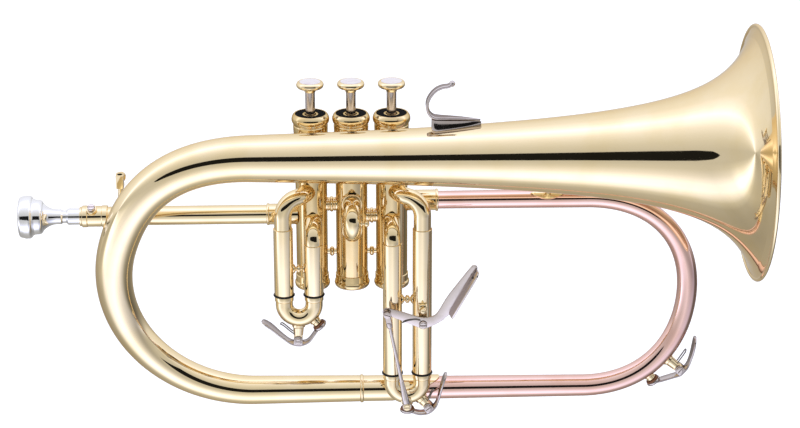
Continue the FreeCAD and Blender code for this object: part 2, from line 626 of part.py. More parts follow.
def make_water_key(key):
    # The nipple over its hole, and the post with its hinge hole.
    nipple = lathe(key.nipple_point(-1.5), key.nipple_way(), [
        (0, 1.6), (0, 3.4), (1.9, 3.4), ((2.2, 3.0), (2.5, 2.9)), (NIPPLE_HEIGHT + 0.9, 2.9),
        (NIPPLE_HEIGHT + 1.5, 2.6), (NIPPLE_HEIGHT + 1.5, 1.6)])
    depth = key.reach - key.skin
    post = lathe(V(0, 0, -depth - 1.5), UP, [
        (0, 0), (0, 4.0), (1.8, 4.0), ((2.1, 3.5), (2.6, 3.3)), (depth - 1.2, 2.9), (depth - 1.2, 0)])
    head = Part.makeBox(4.6, HINGE_HALF * 2, 4.5, V(-2.3, -HINGE_HALF, -3.2))
    head = head.fuse(bar(V(0, -HINGE_HALF, 0), V(0, HINGE_HALF, 0), 2.5))
    post = post.fuse(head).cut(bar(V(0, -9, 0), V(0, 9, 0), 1.0))
    base = [key.put(piece).cut(key.bow) for piece in (nipple, post)]
    if key.name == "main":
        base = [piece.cut(rose_solid(0)) for piece in base]
    save("key_%s_base" % key.name, *base)

    front = FRONT * key.side
    screw = slotted_screw(front * (-HINGE_HALF - 1.4), front, 1.0, 2.1, HINGE_HALF * 2 + 2.6, 1.3)
    save("key_%s_screw" % key.name, key.put(screw))

    # The cork in its cup, a hair above the nipple.
    seat = key.nipple_point(NIPPLE_HEIGHT + 0.08)
    way = key.nipple_way()
    cork = bar(seat, seat + way * CORK_THICK, CORK_R)
    save("key_%s_cork" % key.name, key.put(cork.copy()))
    cup = lathe(seat + way * (CORK_THICK - 0.9), way, [
        (0, CORK_R), (0, CORK_R + 0.45), ((1.2, CORK_R + 0.5), (2.1, CORK_R - 0.6)), (2.1, 0),
        (0.9, 0), (0.9, CORK_R)])

    # The lever: a strap from the cup under the hinge to the touch, with two ears.
    back = seat + way * (CORK_THICK + 0.7)
    rise = key.tail_rise
    line = [(back.x - 1.0, back.z - 0.6), (back.x + 1.5, back.z + 0.9), (-7.0, 0.4), (-3.0, 3.0),
            (0.5, 3.6), (5.0, 2.3 + rise * 0.2), (10.5, -2.2 + rise * 0.6), (16.5, -7.6 + rise),
            (22.0, -11.3 + rise)]
    plate = strap(line, 1.15, 14)
    widths = [(back.x - 2.0, 1.4), (back.x + 3.0, 1.9), (-5.5, 2.2), (-3.2, 3.7), (3.2, 3.7),
              (6.5, 2.3), (12.0, 2.8), (17.0, 3.7), (20.2, 3.3)]
    near = spline([V(x, -half, -30) for x, half in widths])
    far = spline([V(x, half, -30) for x, half in widths])
    (x_0, half_0), (x_1, half_1) = widths[0], widths[-1]
    heel = Part.makeLine(V(x_0, -half_0, -30), V(x_0, half_0, -30))
    tip = Part.Arc(V(x_1, -half_1, -30), V(x_1 + 2.6, 0, -30), V(x_1, half_1, -30)).toShape()
    plate = plate.common(prism([near, far, heel, tip], UP * 60))
    ears = []
    for side in (-1, 1):
        middle = side * (HINGE_HALF + 0.2 + 0.5)
        ear = Part.makeBox(5.4, 1.0, 4.0, V(-2.7, middle - 0.5, -0.6))
        ear = ear.fuse(bar(V(0, middle - 0.5, 0), V(0, middle + 0.5, 0), 2.7))
        ears.append(ear)
    lever = plate.fuse([cup] + ears).cut(cork)
    lever = lever.cut(bar(V(0, -9, 0), V(0, 9, 0), 1.0 + FIT))
    lever = lever.cut(Part.makeBox(8, HINGE_HALF * 2 + 0.4, 5.0, V(-4, -HINGE_HALF - 0.2, -2.2)))
    save("key_%s_lever" % key.name, key.put(lever))


# Third-slide trigger

def make_trigger():
    leg = V(SLIDE_LEGS[3][0], SLIDE_Y, 0)
    pivot = TRIGGER_PIVOT
    back_face = TRIGGER_Y + 0.7
    foot = V(pivot.x, leg.y - SLEEVE_R + 0.6, pivot.z)
    reach = foot.y - back_face
    post = lathe(foot, FRONT, [(0, 0), (0, 3.4), (1.3, 3.4), ((1.6, 2.9), (1.9, 2.6)),
                               (reach - 0.05, 2.4), (reach - 0.05, 0)])
    ball = lathe(foot + UP * 8.8, FRONT, [(0, 0), (0, 2.6), (1.2, 2.6), ((1.5, 2.1), (1.7, 1.5)),
                                          (2.6, 1.3), ((4.9, 2.2), (7.0, 0.6)), (7.05, 0)])
    strip = Part.makeBox(5.0, 1.6, 15, foot + V(-2.5, -1.2, -3))
    sleeve_skin = Part.makeCylinder(SLEEVE_R, 60, V(leg.x, leg.y, -100))
    post = post.fuse([ball, strip]).cut(sleeve_skin)
    screw_tip = V(pivot.x, back_face + 2.2, pivot.z)
    post = post.cut(bar(screw_tip + V(0, 0.2, 0), screw_tip + V(0, -9, 0), 1.1))
    save("trigger_post", post)
    save("trigger_screw", slotted_screw(screw_tip, FRONT, 1.1, 2.5, screw_tip.y - TRIGGER_Y + 0.75, 1.7))

    # The lever, with its folded finger plate and the pin for the rod.
    top = [(21.5, -58.4), (30.0, -61.0), (38.0, -63.8), (44.5, -64.7), (49.6, -63.2), (52.3, -59.6),
           (56.9, -51.4), (62.6, -43.4), (67.8, -36.4), (71.2, -32.0)]
    under = [(58.8, -62.9), (56.6, -64.2), (54.0, -66.8), (49.3, -69.6), (44.5, -71.6), (41.0, -71.8),
             (35.5, -69.4), (29.0, -66.4), (21.5, -63.2)]
    front = TRIGGER_Y - 0.7
    fold_top, fold_foot = V(75.0, front, -33.3), V(58.8, front, -62.9)
    edges = [spline([V(x, front, z) for x, z in top]), spline([V(x, front, z) for x, z in under]),
             Part.Arc(V(71.2, front, -32.0), V(73.6, front, -31.0), fold_top).toShape(),
             Part.makeLine(fold_top, fold_foot),
             Part.Arc(V(21.5, front, -63.2), V(17.8, front, -60.8), V(21.5, front, -58.4)).toShape()]
    lever = prism(edges, V(0, 1.4, 0))
    along = (fold_top - fold_foot).normalize()
    away = V(-along.z, 0, along.x) * -1
    length = (fold_top - fold_foot).Length
    thick, width = 1.1, 6.4
    near = fold_foot - away * 0.3
    bend = [near, near + away * 0.5 + V(0, -width * 0.5, 0), near + away * 2.9 + V(0, -width, 0)]
    shift = away * thick
    section = [Part.Arc(*bend).toShape(), Part.makeLine(bend[2], bend[2] + shift),
               Part.Arc(*[point + shift for point in bend]).toShape(),
               Part.makeLine(bend[0] + shift, bend[0])]
    plate = prism(section, along * length)
    corner = 3.4
    low, high = near - away * 5, near - away * 5 + V(0, -width, 0)
    outline = [Part.makeLine(low + V(0, 2, 0), high + V(0, corner, 0)),
               Part.Arc(high + V(0, corner, 0), high + V(0, 1.4, 0) + along * 1.5,
                        high + along * corner).toShape(),
               Part.makeLine(high + along * corner, high + along * (length - corner)),
               Part.Arc(high + along * (length - corner), high + V(0, 1.4, 0) + along * (length - 1.5),
                        high + V(0, corner, 0) + along * length).toShape(),
               Part.makeLine(high + V(0, corner, 0) + along * length, low + V(0, 2, 0) + along * length),
               Part.makeLine(low + V(0, 2, 0) + along * length, low + V(0, 2, 0))]
    plate = plate.common(prism(outline, away * 15))
    eyelet = fold_foot + along * (length - 4.5) + V(0, -width * 0.55, 0)
    plate = plate.cut(bar(eyelet - away * 5, eyelet + away * 8, 0.9))
    pin = slotted_screw(V(ROD_TOP.x, front + 0.5, ROD_TOP.z), FRONT, 0.95, 2.1, front - ROD_Y + 1.9, 1.2)
    lever = lever.fuse([plate, pin])
    save("trigger_lever", lever.cut(bar(pivot + V(0, 9, 0), pivot - V(0, 9, 0), 1.1 + FIT)))

    # The rod, with an eye at each end; its slack eye is the one on the lever.
    way = (ROD_FOOT - ROD_TOP).normalize()
    span = (ROD_FOOT - ROD_TOP).Length
    rod = lathe(ROD_TOP, way, [
        (1.8, 0), (1.8, 1.9), (8.5, 1.9), ((9.2, 1.6), (9.6, 1.0)), (span - 18, 1.15),
        (span - 17.6, 1.5), (span - 17.0, 1.5), (span - 16.8, 1.3), (span - 5, 2.25), (span - 2.4, 2.25),
        (span - 2.4, 0)])
    for end, radius in ((ROD_TOP, 2.4), (ROD_FOOT, 2.6)):
        rod = rod.fuse(bar(end + V(0, 1.2, 0), end - V(0, 1.2, 0), radius))
    for end, bore in ((ROD_TOP, 0.95 + ROD_SLACK), (ROD_FOOT, 0.95 + FIT)):
        rod = rod.cut(bar(end + V(0, 3, 0), end - V(0, 3, 0), bore))
    for side in (-1, 1):
        flat = Part.makeBox(8, 3, 10, ROD_TOP + V(-4, 1.2 if side > 0 else -4.2, -6))
        rod = rod.cut(flat)
    save("trigger_rod", rod)

    # The foot on the crook: a flanged stud and the screw that holds the rod on it.
    crook = sweep(crook_path(V(min(SLIDE_LEGS[3]), SLIDE_Y, CROOK_TOP[3]), UP * -1, RIGHT * LEG_GAP,
                             CROOK_TOP[3] - CROOK_BOW[3]),
                  V(min(SLIDE_LEGS[3]), SLIDE_Y, CROOK_TOP[3]), UP, TUBE_R)
    stud_start = V(ROD_FOOT.x, SLIDE_Y - 2, ROD_FOOT.z)
    shoulder = stud_start.y - (ROD_Y + 1.3)
    head = stud_start.y - (ROD_Y - 1.3)
    stud = lathe(stud_start, FRONT, [
        (0, 0), (0, 3.2), (4.4, 3.2), ((4.8, 2.6), (5.2, 2.2)), (shoulder, 2.0), (shoulder, 0.95),
        (head, 0.95), (head, 2.2), (head + 0.7, 2.2), ((head + 1.1, 1.9), (head + 1.2, 1.3)),
        (head + 1.2, 0)])
    slot = Part.makeBox(6, 1.0, 0.6, V(ROD_FOOT.x - 3, stud_start.y - head - 1.7, ROD_FOOT.z - 0.3))
    key = WATER_KEYS[1]
    nipple = key.put(bar(key.nipple_point(-1.5), key.nipple_point(NIPPLE_HEIGHT + 1.6), 3.45))
    save("rod_foot", stud.cut(crook).cut(slot).cut(nipple))


# Mouthpipe and mouthpiece

def make_mouthpipe():
    axis = V(0, 0, MOUTHPIPE_Z)
    open_end = axis + RIGHT * RECEIVER_X
    valve_x = -VALVE_PITCH
    pipe = ring(open_end + RIGHT * 1.0, RIGHT, SHANK_R + FIT, MOUTHPIPE_R, valve_x - RECEIVER_X - 1.0)
    lap = ring(axis + RIGHT * -50.8, RIGHT, MOUTHPIPE_R - 0.1, MOUTHPIPE_R + 0.6, 50.8 + valve_x)
    line = bead(axis + RIGHT * -51.6, RIGHT, MOUTHPIPE_R - 0.1, MOUTHPIPE_R + 1.0, 1.6)
    save("mouthpipe", pipe.fuse([lap, line]).cut(casing_blank(valve_x)))

    # The clamp at the open end, with the boss for its screw.
    clamp = lathe(open_end, RIGHT, [
        (0, SHANK_R + FIT), (0, 6.3), ((0.3, 6.6), (0.7, 6.65)), (3.0, 6.65), (3.4, 6.35), (11.8, 6.35),
        (12.2, 6.65), (14.8, 6.65), ((15.2, 6.6), (15.4, 6.3)), (15.4, MOUTHPIPE_R), (1.0, MOUTHPIPE_R),
        (1.0, SHANK_R + FIT)])
    lean = math.radians(54)
    out = V(0, -math.cos(lean), math.sin(lean))
    boss_axis = axis + RIGHT * -157.1
    boss = lathe(boss_axis + out * 5.0, out, [
        (0, 0), (0, 3.3), (3.0, 3.3), ((3.4, 3.1), (3.6, 2.8)), (3.6, 0)])
    boss = boss.cut(bar(open_end, open_end + RIGHT * 20, MOUTHPIPE_R))
    clamp = clamp.fuse(boss).cut(bar(boss_axis + out * 6.4, boss_axis + out * 12, 1.2 + FIT))
    save("mouthpipe_clamp", clamp)
    save("clamp_screw", slotted_screw(boss_axis + out * 6.5, out, 1.2, 2.4, 2.15, 1.8))

    shank_start = open_end - RIGHT * 1.4
    wide, narrow = 4.95 + FIT, 4.35 + FIT
    save("tuning_shank", lathe(shank_start, RIGHT, [
        (0, wide), (0, 5.6), ((0.1, 5.9), (0.4, 5.9)), (1.3, 5.9), (1.3, SHANK_R), (38, SHANK_R),
        (38, SHANK_R - 0.5), (27, SHANK_R - 0.5), (27, narrow)]))
    save("mouthpiece", lathe(V(-201.2, 0, MOUTHPIPE_Z), RIGHT, [
        (2.2, 8.2), ((0.0, 10.6), (2.3, 12.6)), (4.0, 13.1), (5.6, 13.0), ((7.4, 12.6), (8.2, 11.4)),
        (9.6, 10.7), (12.3, 10.5), ((13.9, 9.6), (14.6, 8.3)), ((18.4, 5.6), (25.3, 4.6)),
        ((25.9, 4.2), (26.4, 3.8)), (28.6, 3.8), ((29.1, 4.5), (29.7, 5.0)), (36.4, 4.95), (60.5, 4.38),
        (60.5, 3.3), (20.0, 2.1), ((12.0, 5.9), (2.2, 8.2))]))


def make_lyre_holder():
    x = -139.5
    neck = lathe(V(x, 0, MOUTHPIPE_Z), UP, [
        (0, 0), (0, 3.4), (MOUTHPIPE_R + 0.9, 3.4), ((7.3, 2.7), (7.8, 1.7)), (18.9, 1.5), (18.9, 0)])
    block = Part.makeBox(4.6, 7.4, 8.0, V(x - 2.3, -3.7, 10.8))
    block = block.makeFillet(0.7, [edge for edge in block.Edges if abs(edge.tangentAt(0).z) > 0.9])
    screw = lathe(V(x, 3.7, 14.8), V(0, 1, 0), [
        (0, 0), (0, 1.4), (1.6, 1.4), (1.6, 3.0), (4.2, 3.0), (4.2, 0)])
    holder = neck.fuse([block, screw]).cut(bar(V(x, 0, 11.8), V(x, 0, 20), 1.6))
    save("lyre_holder", holder.cut(bar(V(-160, 0, MOUTHPIPE_Z), V(-120, 0, MOUTHPIPE_Z), MOUTHPIPE_R)))


# Trim of the body

def make_finger_hook():
    """A bent strap on a pointed plate that fits the top of the bell."""
    hook = strap([(48.6, 59.4), (46.8, 62.6), (44.9, 67.0), (44.2, 71.4), (45.6, 76.4), (49.0, 80.6),
                  (53.0, 82.6), (56.6, 82.4), (59.4, 84.6)], 1.5, 7.0, BELL_Y)
    y = BELL_Y
    half = 4.6
    edges = [Part.Arc(V(50.0, y - half, 40), V(46.6, y, 40), V(50.0, y + half, 40)).toShape(),
             Part.Arc(V(50.0, y - half, 40), V(62, y - 2.6, 40), V(75.0, y - 0.5, 40)).toShape(),
             Part.Arc(V(50.0, y + half, 40), V(62, y + 2.6, 40), V(75.0, y + 0.5, 40)).toShape(),
             Part.makeLine(V(75.0, y - 0.5, 40), V(75.0, y + 0.5, 40))]
    plate = flare(4.4).common(prism(edges, UP * 40))
    wedge = polygon([V(44, y - 9, 66), V(44, y - 9, 50), V(80, y - 9, 50), V(80, y - 9, 61.4),
                     V(75, y - 9, 61.4), V(50, y - 9, 63.4)])
    plate = plate.common(prism(wedge, V(0, 18, 0)))
    save("finger_hook", hook.fuse(plate).cut(flare(0)))


def make_stays():
    """Stays between the bell and the rose branch, the mouthpipe and the outer casings."""
    bell = flare(0).fuse(tail(0))
    rose_x = 119.0
    rose_run = rose_length() - (rose_x - ROSE_END_X)
    bell_axis = V(rose_x, BELL_Y, BELL_Z)
    out = V(0, bell_axis.y, bell_axis.z).normalize()
    near = V(rose_x, 0, 0) + out * (rose_radius(rose_run) - 1)
    far = bell_axis - out * (bell_radius(MOUTH_X - rose_x) - 2)
    stay = turned_stay(near, far, 3.6, 1.9)
    leaf = [Part.Arc(V(rose_x - 10.6, 0, 0), V(rose_x, side * 3.4, 0), V(rose_x + 10.6, 0, 0)).toShape()
            for side in (-1, 1)]
    leaf = prism(leaf, UP * 12)
    leaf.rotate(V(0, 0, 0), RIGHT, math.degrees(math.atan2(-out.y, out.z)))
    rose = rose_solid(0)
    plate = leaf.common(rose_solid(1.0))
    stay = stay.fuse(plate).cut(rose).cut(bell)

    bow = bow_point(math.radians(72))
    start = V(-146, 0, MOUTHPIPE_Z)
    away = (bow - start).normalize()
    bow_stay = turned_stay(start + away * 5, bow - away * 9.5, 2.8, 1.4)
    bow_stay = bow_stay.cut(bell).cut(bar(V(-160, 0, MOUTHPIPE_Z), V(-147.8, 0, MOUTHPIPE_Z), 6.65))
    bow_stay = bow_stay.cut(bar(V(-160, 0, MOUTHPIPE_Z), V(-120, 0, MOUTHPIPE_Z), MOUTHPIPE_R))
    pieces = [stay, bow_stay]
    for side in (-1, 1):
        casing = V(side * VALVE_PITCH, 0, 31)
        axis = V(side * VALVE_PITCH, BELL_Y, BELL_Z)
        way = (axis - casing).normalize()
        length = (axis - casing).Length - bell_radius(MOUTH_X - axis.x) + 2
        post = turned_stay(casing + way * (CASING_R - 1.5), casing + way * length, 3.4, 1.8)
        pieces.append(post.cut(bell).cut(casing_blank(casing.x)))
    save("stays", *pieces)


make_bell()
make_ferrules()
make_rose_branch()
for valve in (1, 2, 3):
    make_valve(valve)
make_felts()
make_valve_links()
make_outer_slide(1)
make_middle_slide()
make_outer_slide(3)
for water_key in WATER_KEYS:
    make_water_key(water_key)
make_trigger()
make_mouthpipe()
make_lyre_holder()
make_finger_hook()
make_stays()
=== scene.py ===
"""Looks of a B-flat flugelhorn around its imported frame. Sizes are in millimetres until make_piece."""
import json
import math
import bmesh
import bpy
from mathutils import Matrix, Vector


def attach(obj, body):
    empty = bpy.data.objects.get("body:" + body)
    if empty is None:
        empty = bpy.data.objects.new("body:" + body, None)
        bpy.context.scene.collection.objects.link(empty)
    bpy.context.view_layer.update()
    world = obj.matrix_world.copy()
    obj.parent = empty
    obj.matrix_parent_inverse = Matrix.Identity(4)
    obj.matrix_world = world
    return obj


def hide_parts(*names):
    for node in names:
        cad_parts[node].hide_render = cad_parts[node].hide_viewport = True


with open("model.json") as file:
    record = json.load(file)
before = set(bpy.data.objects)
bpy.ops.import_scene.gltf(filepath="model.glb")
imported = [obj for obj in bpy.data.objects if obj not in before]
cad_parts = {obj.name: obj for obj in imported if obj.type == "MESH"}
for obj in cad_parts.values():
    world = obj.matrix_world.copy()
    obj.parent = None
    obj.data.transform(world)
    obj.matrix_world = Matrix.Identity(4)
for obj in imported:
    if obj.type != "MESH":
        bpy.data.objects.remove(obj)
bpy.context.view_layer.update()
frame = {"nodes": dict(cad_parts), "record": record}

V = Vector
MM = 0.001
UP, RIGHT, FRONT = V((0, 0, 1)), V((1, 0, 0)), V((0, -1, 0))
AROUND = 96                                 # points round a tube or a turned piece

# Driving dimensions, as in the CAD model
WALL = 0.5
FIT = 0.03
MOUTH_X, MOUTH_R = 239.2, 75.9
BELL_Y, BELL_Z = -32.0, 39.3
BELL_LEAD, BELL_POWER, BELL_OFFSET, BELL_FULLNESS = 12.0, 0.44, 6.0, 0.45
BOW_X, BOW_BULGE = -60.3, 2.4
BOTTOM_Z, TAIL_END_X = -125.5, 4.4
ROSE_START_X, ROSE_BOW_X = 20.0, 144.0
ROSE_START_R, ROSE_END_R = 7.3, 5.35
ROSE_BULGE = (2.6, 1.1)
TRIGGER_Y, TRIGGER_PIVOT = -29.9, (42.3, -69.3)
ROD_TOP = V((20.4, -33.0, -60.8))
FERRULE_R, EXIT_FERRULE_R, EXIT_FERRULE_END = 8.1, 6.35, 52.5
VALVE_PITCH = 24.3
CASING_R, CASING_BORE, CASING_TOP, CASING_BOTTOM = 9.6, 8.5, 50.0, -53.6
STEM_R, BUTTON_Z = 2.95, 72.2
MOUTHPIPE_Z, MOUTHPIPE_R, SHANK_R, RECEIVER_X = -8.0, 5.8, 5.3, -163.2
CLAMP_BOSS_X, MOUTHPIECE_X = -157.1, -201.2
TUBE_R, SLEEVE_R, LAP, SLIDE_Y = 5.27, 5.9, 2.0, -20.0
SLIDE_LEGS = {1: (-41.6, -23.5), 3: (42.2, 24.1)}
SLEEVE_FOOT = {1: -52.1, 3: -105.0}
SLEEVE_STAY = {1: -35.9, 3: -56.7}
CROOK_TOP = {1: -24.0, 3: -60.0}
CROOK_BOW = {1: -59.0, 3: -111.9}
LEG_GAP = 18.1
LONG_PORT_Z, SHORT_PORT_Z = 8.8, -9.6
LONG_TOP = {1: -9.7, 3: -10.8}
SLIDE_2_TOP, SLIDE_2_GAP, SLIDE_2_BOW_Y = 3.1, 16.6, -18.0


# Materials

class Nodes:
    """A material's node tree, with short calls for the nodes that the finishes share."""

    def __init__(self, name):
        self.material = bpy.data.materials.new(name)
        self.material.use_nodes = True
        self.tree = self.material.node_tree
        self.shader = self.tree.nodes["Principled BSDF"]
        self.place = self.add("ShaderNodeTexCoord").outputs["Object"]

    def add(self, kind, **settings):
        node = self.tree.nodes.new(kind)
        for name, value in settings.items():
            setattr(node, name, value)
        return node

    def link(self, source, node, socket):
        self.tree.links.new(source, node.inputs[socket])

    def noise(self, scale, detail=3.0, stretch=(1, 1, 1), roughness=0.5):
        """Grey noise; scale is in features per metre."""
        mapping = self.add("ShaderNodeMapping")
        mapping.inputs["Scale"].default_value = stretch
        self.link(self.place, mapping, "Vector")
        node = self.add("ShaderNodeTexNoise")
        node.inputs["Scale"].default_value = scale
        node.inputs["Detail"].default_value = detail
        node.inputs["Roughness"].default_value = roughness
        self.link(mapping.outputs["Vector"], node, "Vector")
        return node.outputs["Fac"]

    def spread(self, value, low, high, start=0.3, end=0.7):
        """Map noise between start and end to low and high."""
        node = self.add("ShaderNodeMapRange")
        self.link(value, node, "Value")
        for name, number in (("From Min", start), ("From Max", end), ("To Min", low), ("To Max", high)):
            node.inputs[name].default_value = number
        return node.outputs["Result"]

    def math(self, operation, one, other):
        node = self.add("ShaderNodeMath", operation=operation)
        for index, value in enumerate((one, other)):
            if isinstance(value, float):
                node.inputs[index].default_value = value
            else:
                self.tree.links.new(value, node.inputs[index])
        return node.outputs[0]

    def tints(self, value, *stops):
        """A colour by value, from (place, colour) stops."""
        node = self.add("ShaderNodeValToRGB")
        self.link(value, node, "Fac")
        ramp = node.color_ramp
        while len(ramp.elements) < len(stops):
            ramp.elements.new(0.5)
        for element, (place, colour) in zip(ramp.elements, stops):
            element.position = place
            element.color = (*colour, 1)
        return node.outputs["Color"]

    def bump(self, height, strength, distance):
        node = self.add("ShaderNodeBump")
        node.inputs["Strength"].default_value = strength
        node.inputs["Distance"].default_value = distance
        self.link(height, node, "Height")
        self.link(node.outputs["Normal"], self.shader, "Normal")

    def set(self, **values):
        for name, value in values.items():
            self.shader.inputs[name.replace("_", " ")].default_value = value


def plated(name, colour, deep, smooth, dull, rim=(1, 1, 1), waviness=0.15, lacquer=0.0):
    """Polished metal: faint stains, wiping marks in its gloss, a darker edge tint that paints shade along the
    edges, and a slight waviness.
    """
    m = Nodes(name)
    stains = m.noise(38, 5)
    m.link(m.tints(stains, (0.36, deep), (0.52, colour), (1.0, colour)), m.shader, "Base Color")
    smears = m.noise(60, 4, (1, 3, 3))
    hairlines = m.noise(900, 2, (0.15, 1, 1))
    gloss = m.math("ADD", m.spread(smears, smooth, dull), m.spread(hairlines, 0.0, 0.02, 0.55, 0.8))
    m.link(gloss, m.shader, "Roughness")
    m.bump(m.math("ADD", m.noise(30, 1), m.spread(hairlines, 0.0, 0.01)), waviness, 0.0004)
    # The specular tint colours the reflection at grazing angles; set darker than the metal, it is painted
    # shade along the edges.
    m.set(Metallic=1.0, Specular_Tint=(*rim, 1))
    if lacquer:
        m.set(Coat_Weight=lacquer, Coat_Roughness=0.02, Coat_IOR=1.5)
    return m.material


def cork_material():
    m = Nodes("cork")
    grains = m.add("ShaderNodeTexVoronoi")
    grains.inputs["Scale"].default_value = 1400
    m.link(m.place, grains, "Vector")
    m.link(m.tints(grains.outputs["Distance"], (0.0, (0.36, 0.17, 0.08)), (0.5, (0.25, 0.10, 0.045)),
                   (1.0, (0.08, 0.03, 0.015))), m.shader, "Base Color")
    m.link(m.spread(m.noise(2500, 4), 0.6, 0.9), m.shader, "Roughness")
    m.bump(grains.outputs["Distance"], 0.5, 0.0002)
    return m.material


def felt_material():
    m = Nodes("black_felt")
    fibres = m.noise(6000, 6, (1, 1, 0.3))
    m.link(m.tints(fibres, (0.35, (0.002, 0.002, 0.002)), (0.75, (0.010, 0.009, 0.010))), m.shader,
           "Base Color")
    m.link(m.spread(fibres, 0.85, 1.0), m.shader, "Roughness")
    m.bump(fibres, 0.6, 0.0002)
    m.set(Specular_IOR_Level=0.12)
    return m.material


def rubber_material():
    m = Nodes("black_rubber")
    grain = m.noise(3500, 4)
    m.link(m.tints(m.noise(200, 3), (0.3, (0.003, 0.003, 0.003)), (0.7, (0.010, 0.010, 0.010))),
           m.shader, "Base Color")
    m.link(m.spread(grain, 0.4, 0.55), m.shader, "Roughness")
    m.bump(grain, 0.2, 0.0001)
    m.set(Specular_IOR_Level=0.3)
    return m.material


def pearl_material():
    """White shell with soft clouds of pink and grey under a glossy top."""
    m = Nodes("pearl")
    clouds = m.noise(170, 3, (1, 2, 1))
    m.link(m.tints(clouds, (0.3, (0.76, 0.66, 0.69)), (0.45, (0.83, 0.75, 0.77)), (0.6, (0.85, 0.80, 0.80)),
                   (0.75, (0.78, 0.78, 0.80))), m.shader, "Base Color")
    m.link(m.spread(clouds, 0.12, 0.25), m.shader, "Roughness")
    m.bump(m.noise(500, 2), 0.05, 0.0002)
    m.set(Coat_Weight=0.8, Coat_Roughness=0.04)
    return m.material


# In each metal the colour after the two gloss numbers is its edge tint, darker than the metal: painted shade
# along the edges.
FINISHES = {
    "lacquered_brass": plated("lacquered_brass", (0.95, 0.79, 0.51), (0.93, 0.76, 0.46), 0.03, 0.07,
                              (0.85, 0.72, 0.52), lacquer=0.4),
    "valve_brass": plated("valve_brass", (0.84, 0.67, 0.39), (0.80, 0.60, 0.30), 0.05, 0.10,
                          (0.60, 0.44, 0.24), lacquer=0.25),
    "rose_brass": plated("rose_brass", (0.88, 0.60, 0.53), (0.85, 0.55, 0.47), 0.04, 0.09,
                         (0.70, 0.55, 0.50), lacquer=0.4),
    "nickel_silver": plated("nickel_silver", (0.74, 0.67, 0.65), (0.66, 0.58, 0.55), 0.14, 0.24,
                            (0.50, 0.46, 0.45)),
    # Nickel silver made darker for the key levers and the finger hook: painted shade on the same metal.
    "lever_nickel_painted_shade": plated("lever_nickel_painted_shade", (0.60, 0.545, 0.53), (0.50, 0.44, 0.42), 0.06, 0.14,
                           (0.40, 0.37, 0.36)),
    "silver_plate": plated("silver_plate", (0.93, 0.93, 0.95), (0.86, 0.86, 0.88), 0.04, 0.09),
    "monel": plated("monel", (0.56, 0.50, 0.47), (0.46, 0.40, 0.37), 0.12, 0.22),
    "spring_steel": plated("spring_steel", (0.20, 0.19, 0.18), (0.12, 0.11, 0.11), 0.18, 0.32),
    "cork": cork_material(),
    "black_felt": felt_material(),
    "black_rubber": rubber_material(),
    "pearl": pearl_material()}


# Mesh building

def circle_points(centre, along, side, radius, count=AROUND):
    up = along.cross(side).normalized()
    turns = [2 * math.pi * k / count for k in range(count)]
    return [centre + (side * math.cos(turn) + up * math.sin(turn)) * radius for turn in turns]


def skin(rings, closed=False):
    """Points and faces of a surface through rings of equal length; closed joins the last to the first."""
    count = len(rings[0])
    points = [point for ring in rings for point in ring]
    faces = []
    for low in range(len(rings) if closed else len(rings) - 1):
        high = (low + 1) % len(rings)
        for k in range(count):
            after = (k + 1) % count
            faces.append((low * count + k, low * count + after, high * count + after, high * count + k))
    return points, faces


def make_piece(name, shapes, finish, body, *nodes, crease=35, slot=None):
    """One object out of several skins; it rides on a body and stands for CAD nodes."""
    points, faces = [], []
    for shape_points, shape_faces in shapes:
        base = len(points)
        points += [point * MM for point in shape_points]
        faces += [tuple(base + index for index in face) for face in shape_faces]
    mesh = bpy.data.meshes.new(name)
    mesh.from_pydata(points, [], faces)
    mesh.validate()
    mesh.shade_smooth()
    mesh.set_sharp_from_angle(angle=math.radians(crease))
    mesh.materials.append(FINISHES[finish])
    piece = bpy.data.objects.new(name, mesh)
    bpy.context.scene.collection.objects.link(piece)
    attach(piece, body)
    if nodes:
        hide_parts(*nodes)
    return piece


def arc_through(first, middle, last, steps=8):
    """Points of the arc after first, as (a, b) pairs."""
    (ax, ay), (bx, by), (cx, cy) = first, middle, last
    d = 2 * (ax * (by - cy) + bx * (cy - ay) + cx * (ay - by))
    if abs(d) < 1e-9:
        return [middle, last]
    a2, b2, c2 = ax * ax + ay * ay, bx * bx + by * by, cx * cx + cy * cy
    ox = (a2 * (by - cy) + b2 * (cy - ay) + c2 * (ay - by)) / d
    oy = (a2 * (cx - bx) + b2 * (ax - cx) + c2 * (bx - ax)) / d
    radius = math.hypot(ax - ox, ay - oy)
    start = math.atan2(ay - oy, ax - ox)
    turn = (math.atan2(cy - oy, cx - ox) - start) % (2 * math.pi)
    through = (math.atan2(by - oy, bx - ox) - start) % (2 * math.pi)
    if through > turn:
        turn -= 2 * math.pi
    angles = [start + turn * k / steps for k in range(1, steps + 1)]
    return [(ox + radius * math.cos(angle), oy + radius * math.sin(angle)) for angle in angles]


def softened(outline, ease=0.12):
    """An outline with arcs filled in and its sharp corners eased by a small round."""
    points = [outline[0]]
    for entry in outline[1:]:
        if isinstance(entry[0], tuple):
            points += arc_through(points[-1], *entry)
        else:
            points.append(entry)
    if math.dist(points[0], points[-1]) < 1e-6:
        points.pop()
    result = []
    count = len(points)
    for k, here in enumerate(points):
        before, after = V(points[k - 1]), V(points[(k + 1) % count])
        corner = V(here)
        back, ahead = before - corner, after - corner
        if min(back.length, ahead.length) < 1e-6:
            continue
        turn = math.pi - back.angle(ahead)
        if turn < 0.35 or abs(corner.y) < 0.01:
            result.append(here)
            continue
        cut = min(ease, back.length * 0.3, ahead.length * 0.3)
        one, other = corner + back.normalized() * cut, corner + ahead.normalized() * cut
        middle = (one + other) * 0.25 + corner * 0.5
        result += [tuple(one), tuple(middle), tuple(other)]
    return result


def lathe(start, along, outline, ease=0.12, count=AROUND):
    """Turn a closed outline of (distance, radius) about the axis that leaves start."""
    along = along.normalized()
    side = along.orthogonal().normalized() if abs(along.y) > 0.9 else along.cross(V((0, 1, 0))).normalized()
    rings = [circle_points(start + along * distance, along, side, max(radius, 0.001), count)
             for distance, radius in softened(outline, ease)]
    return skin(rings, closed=True)


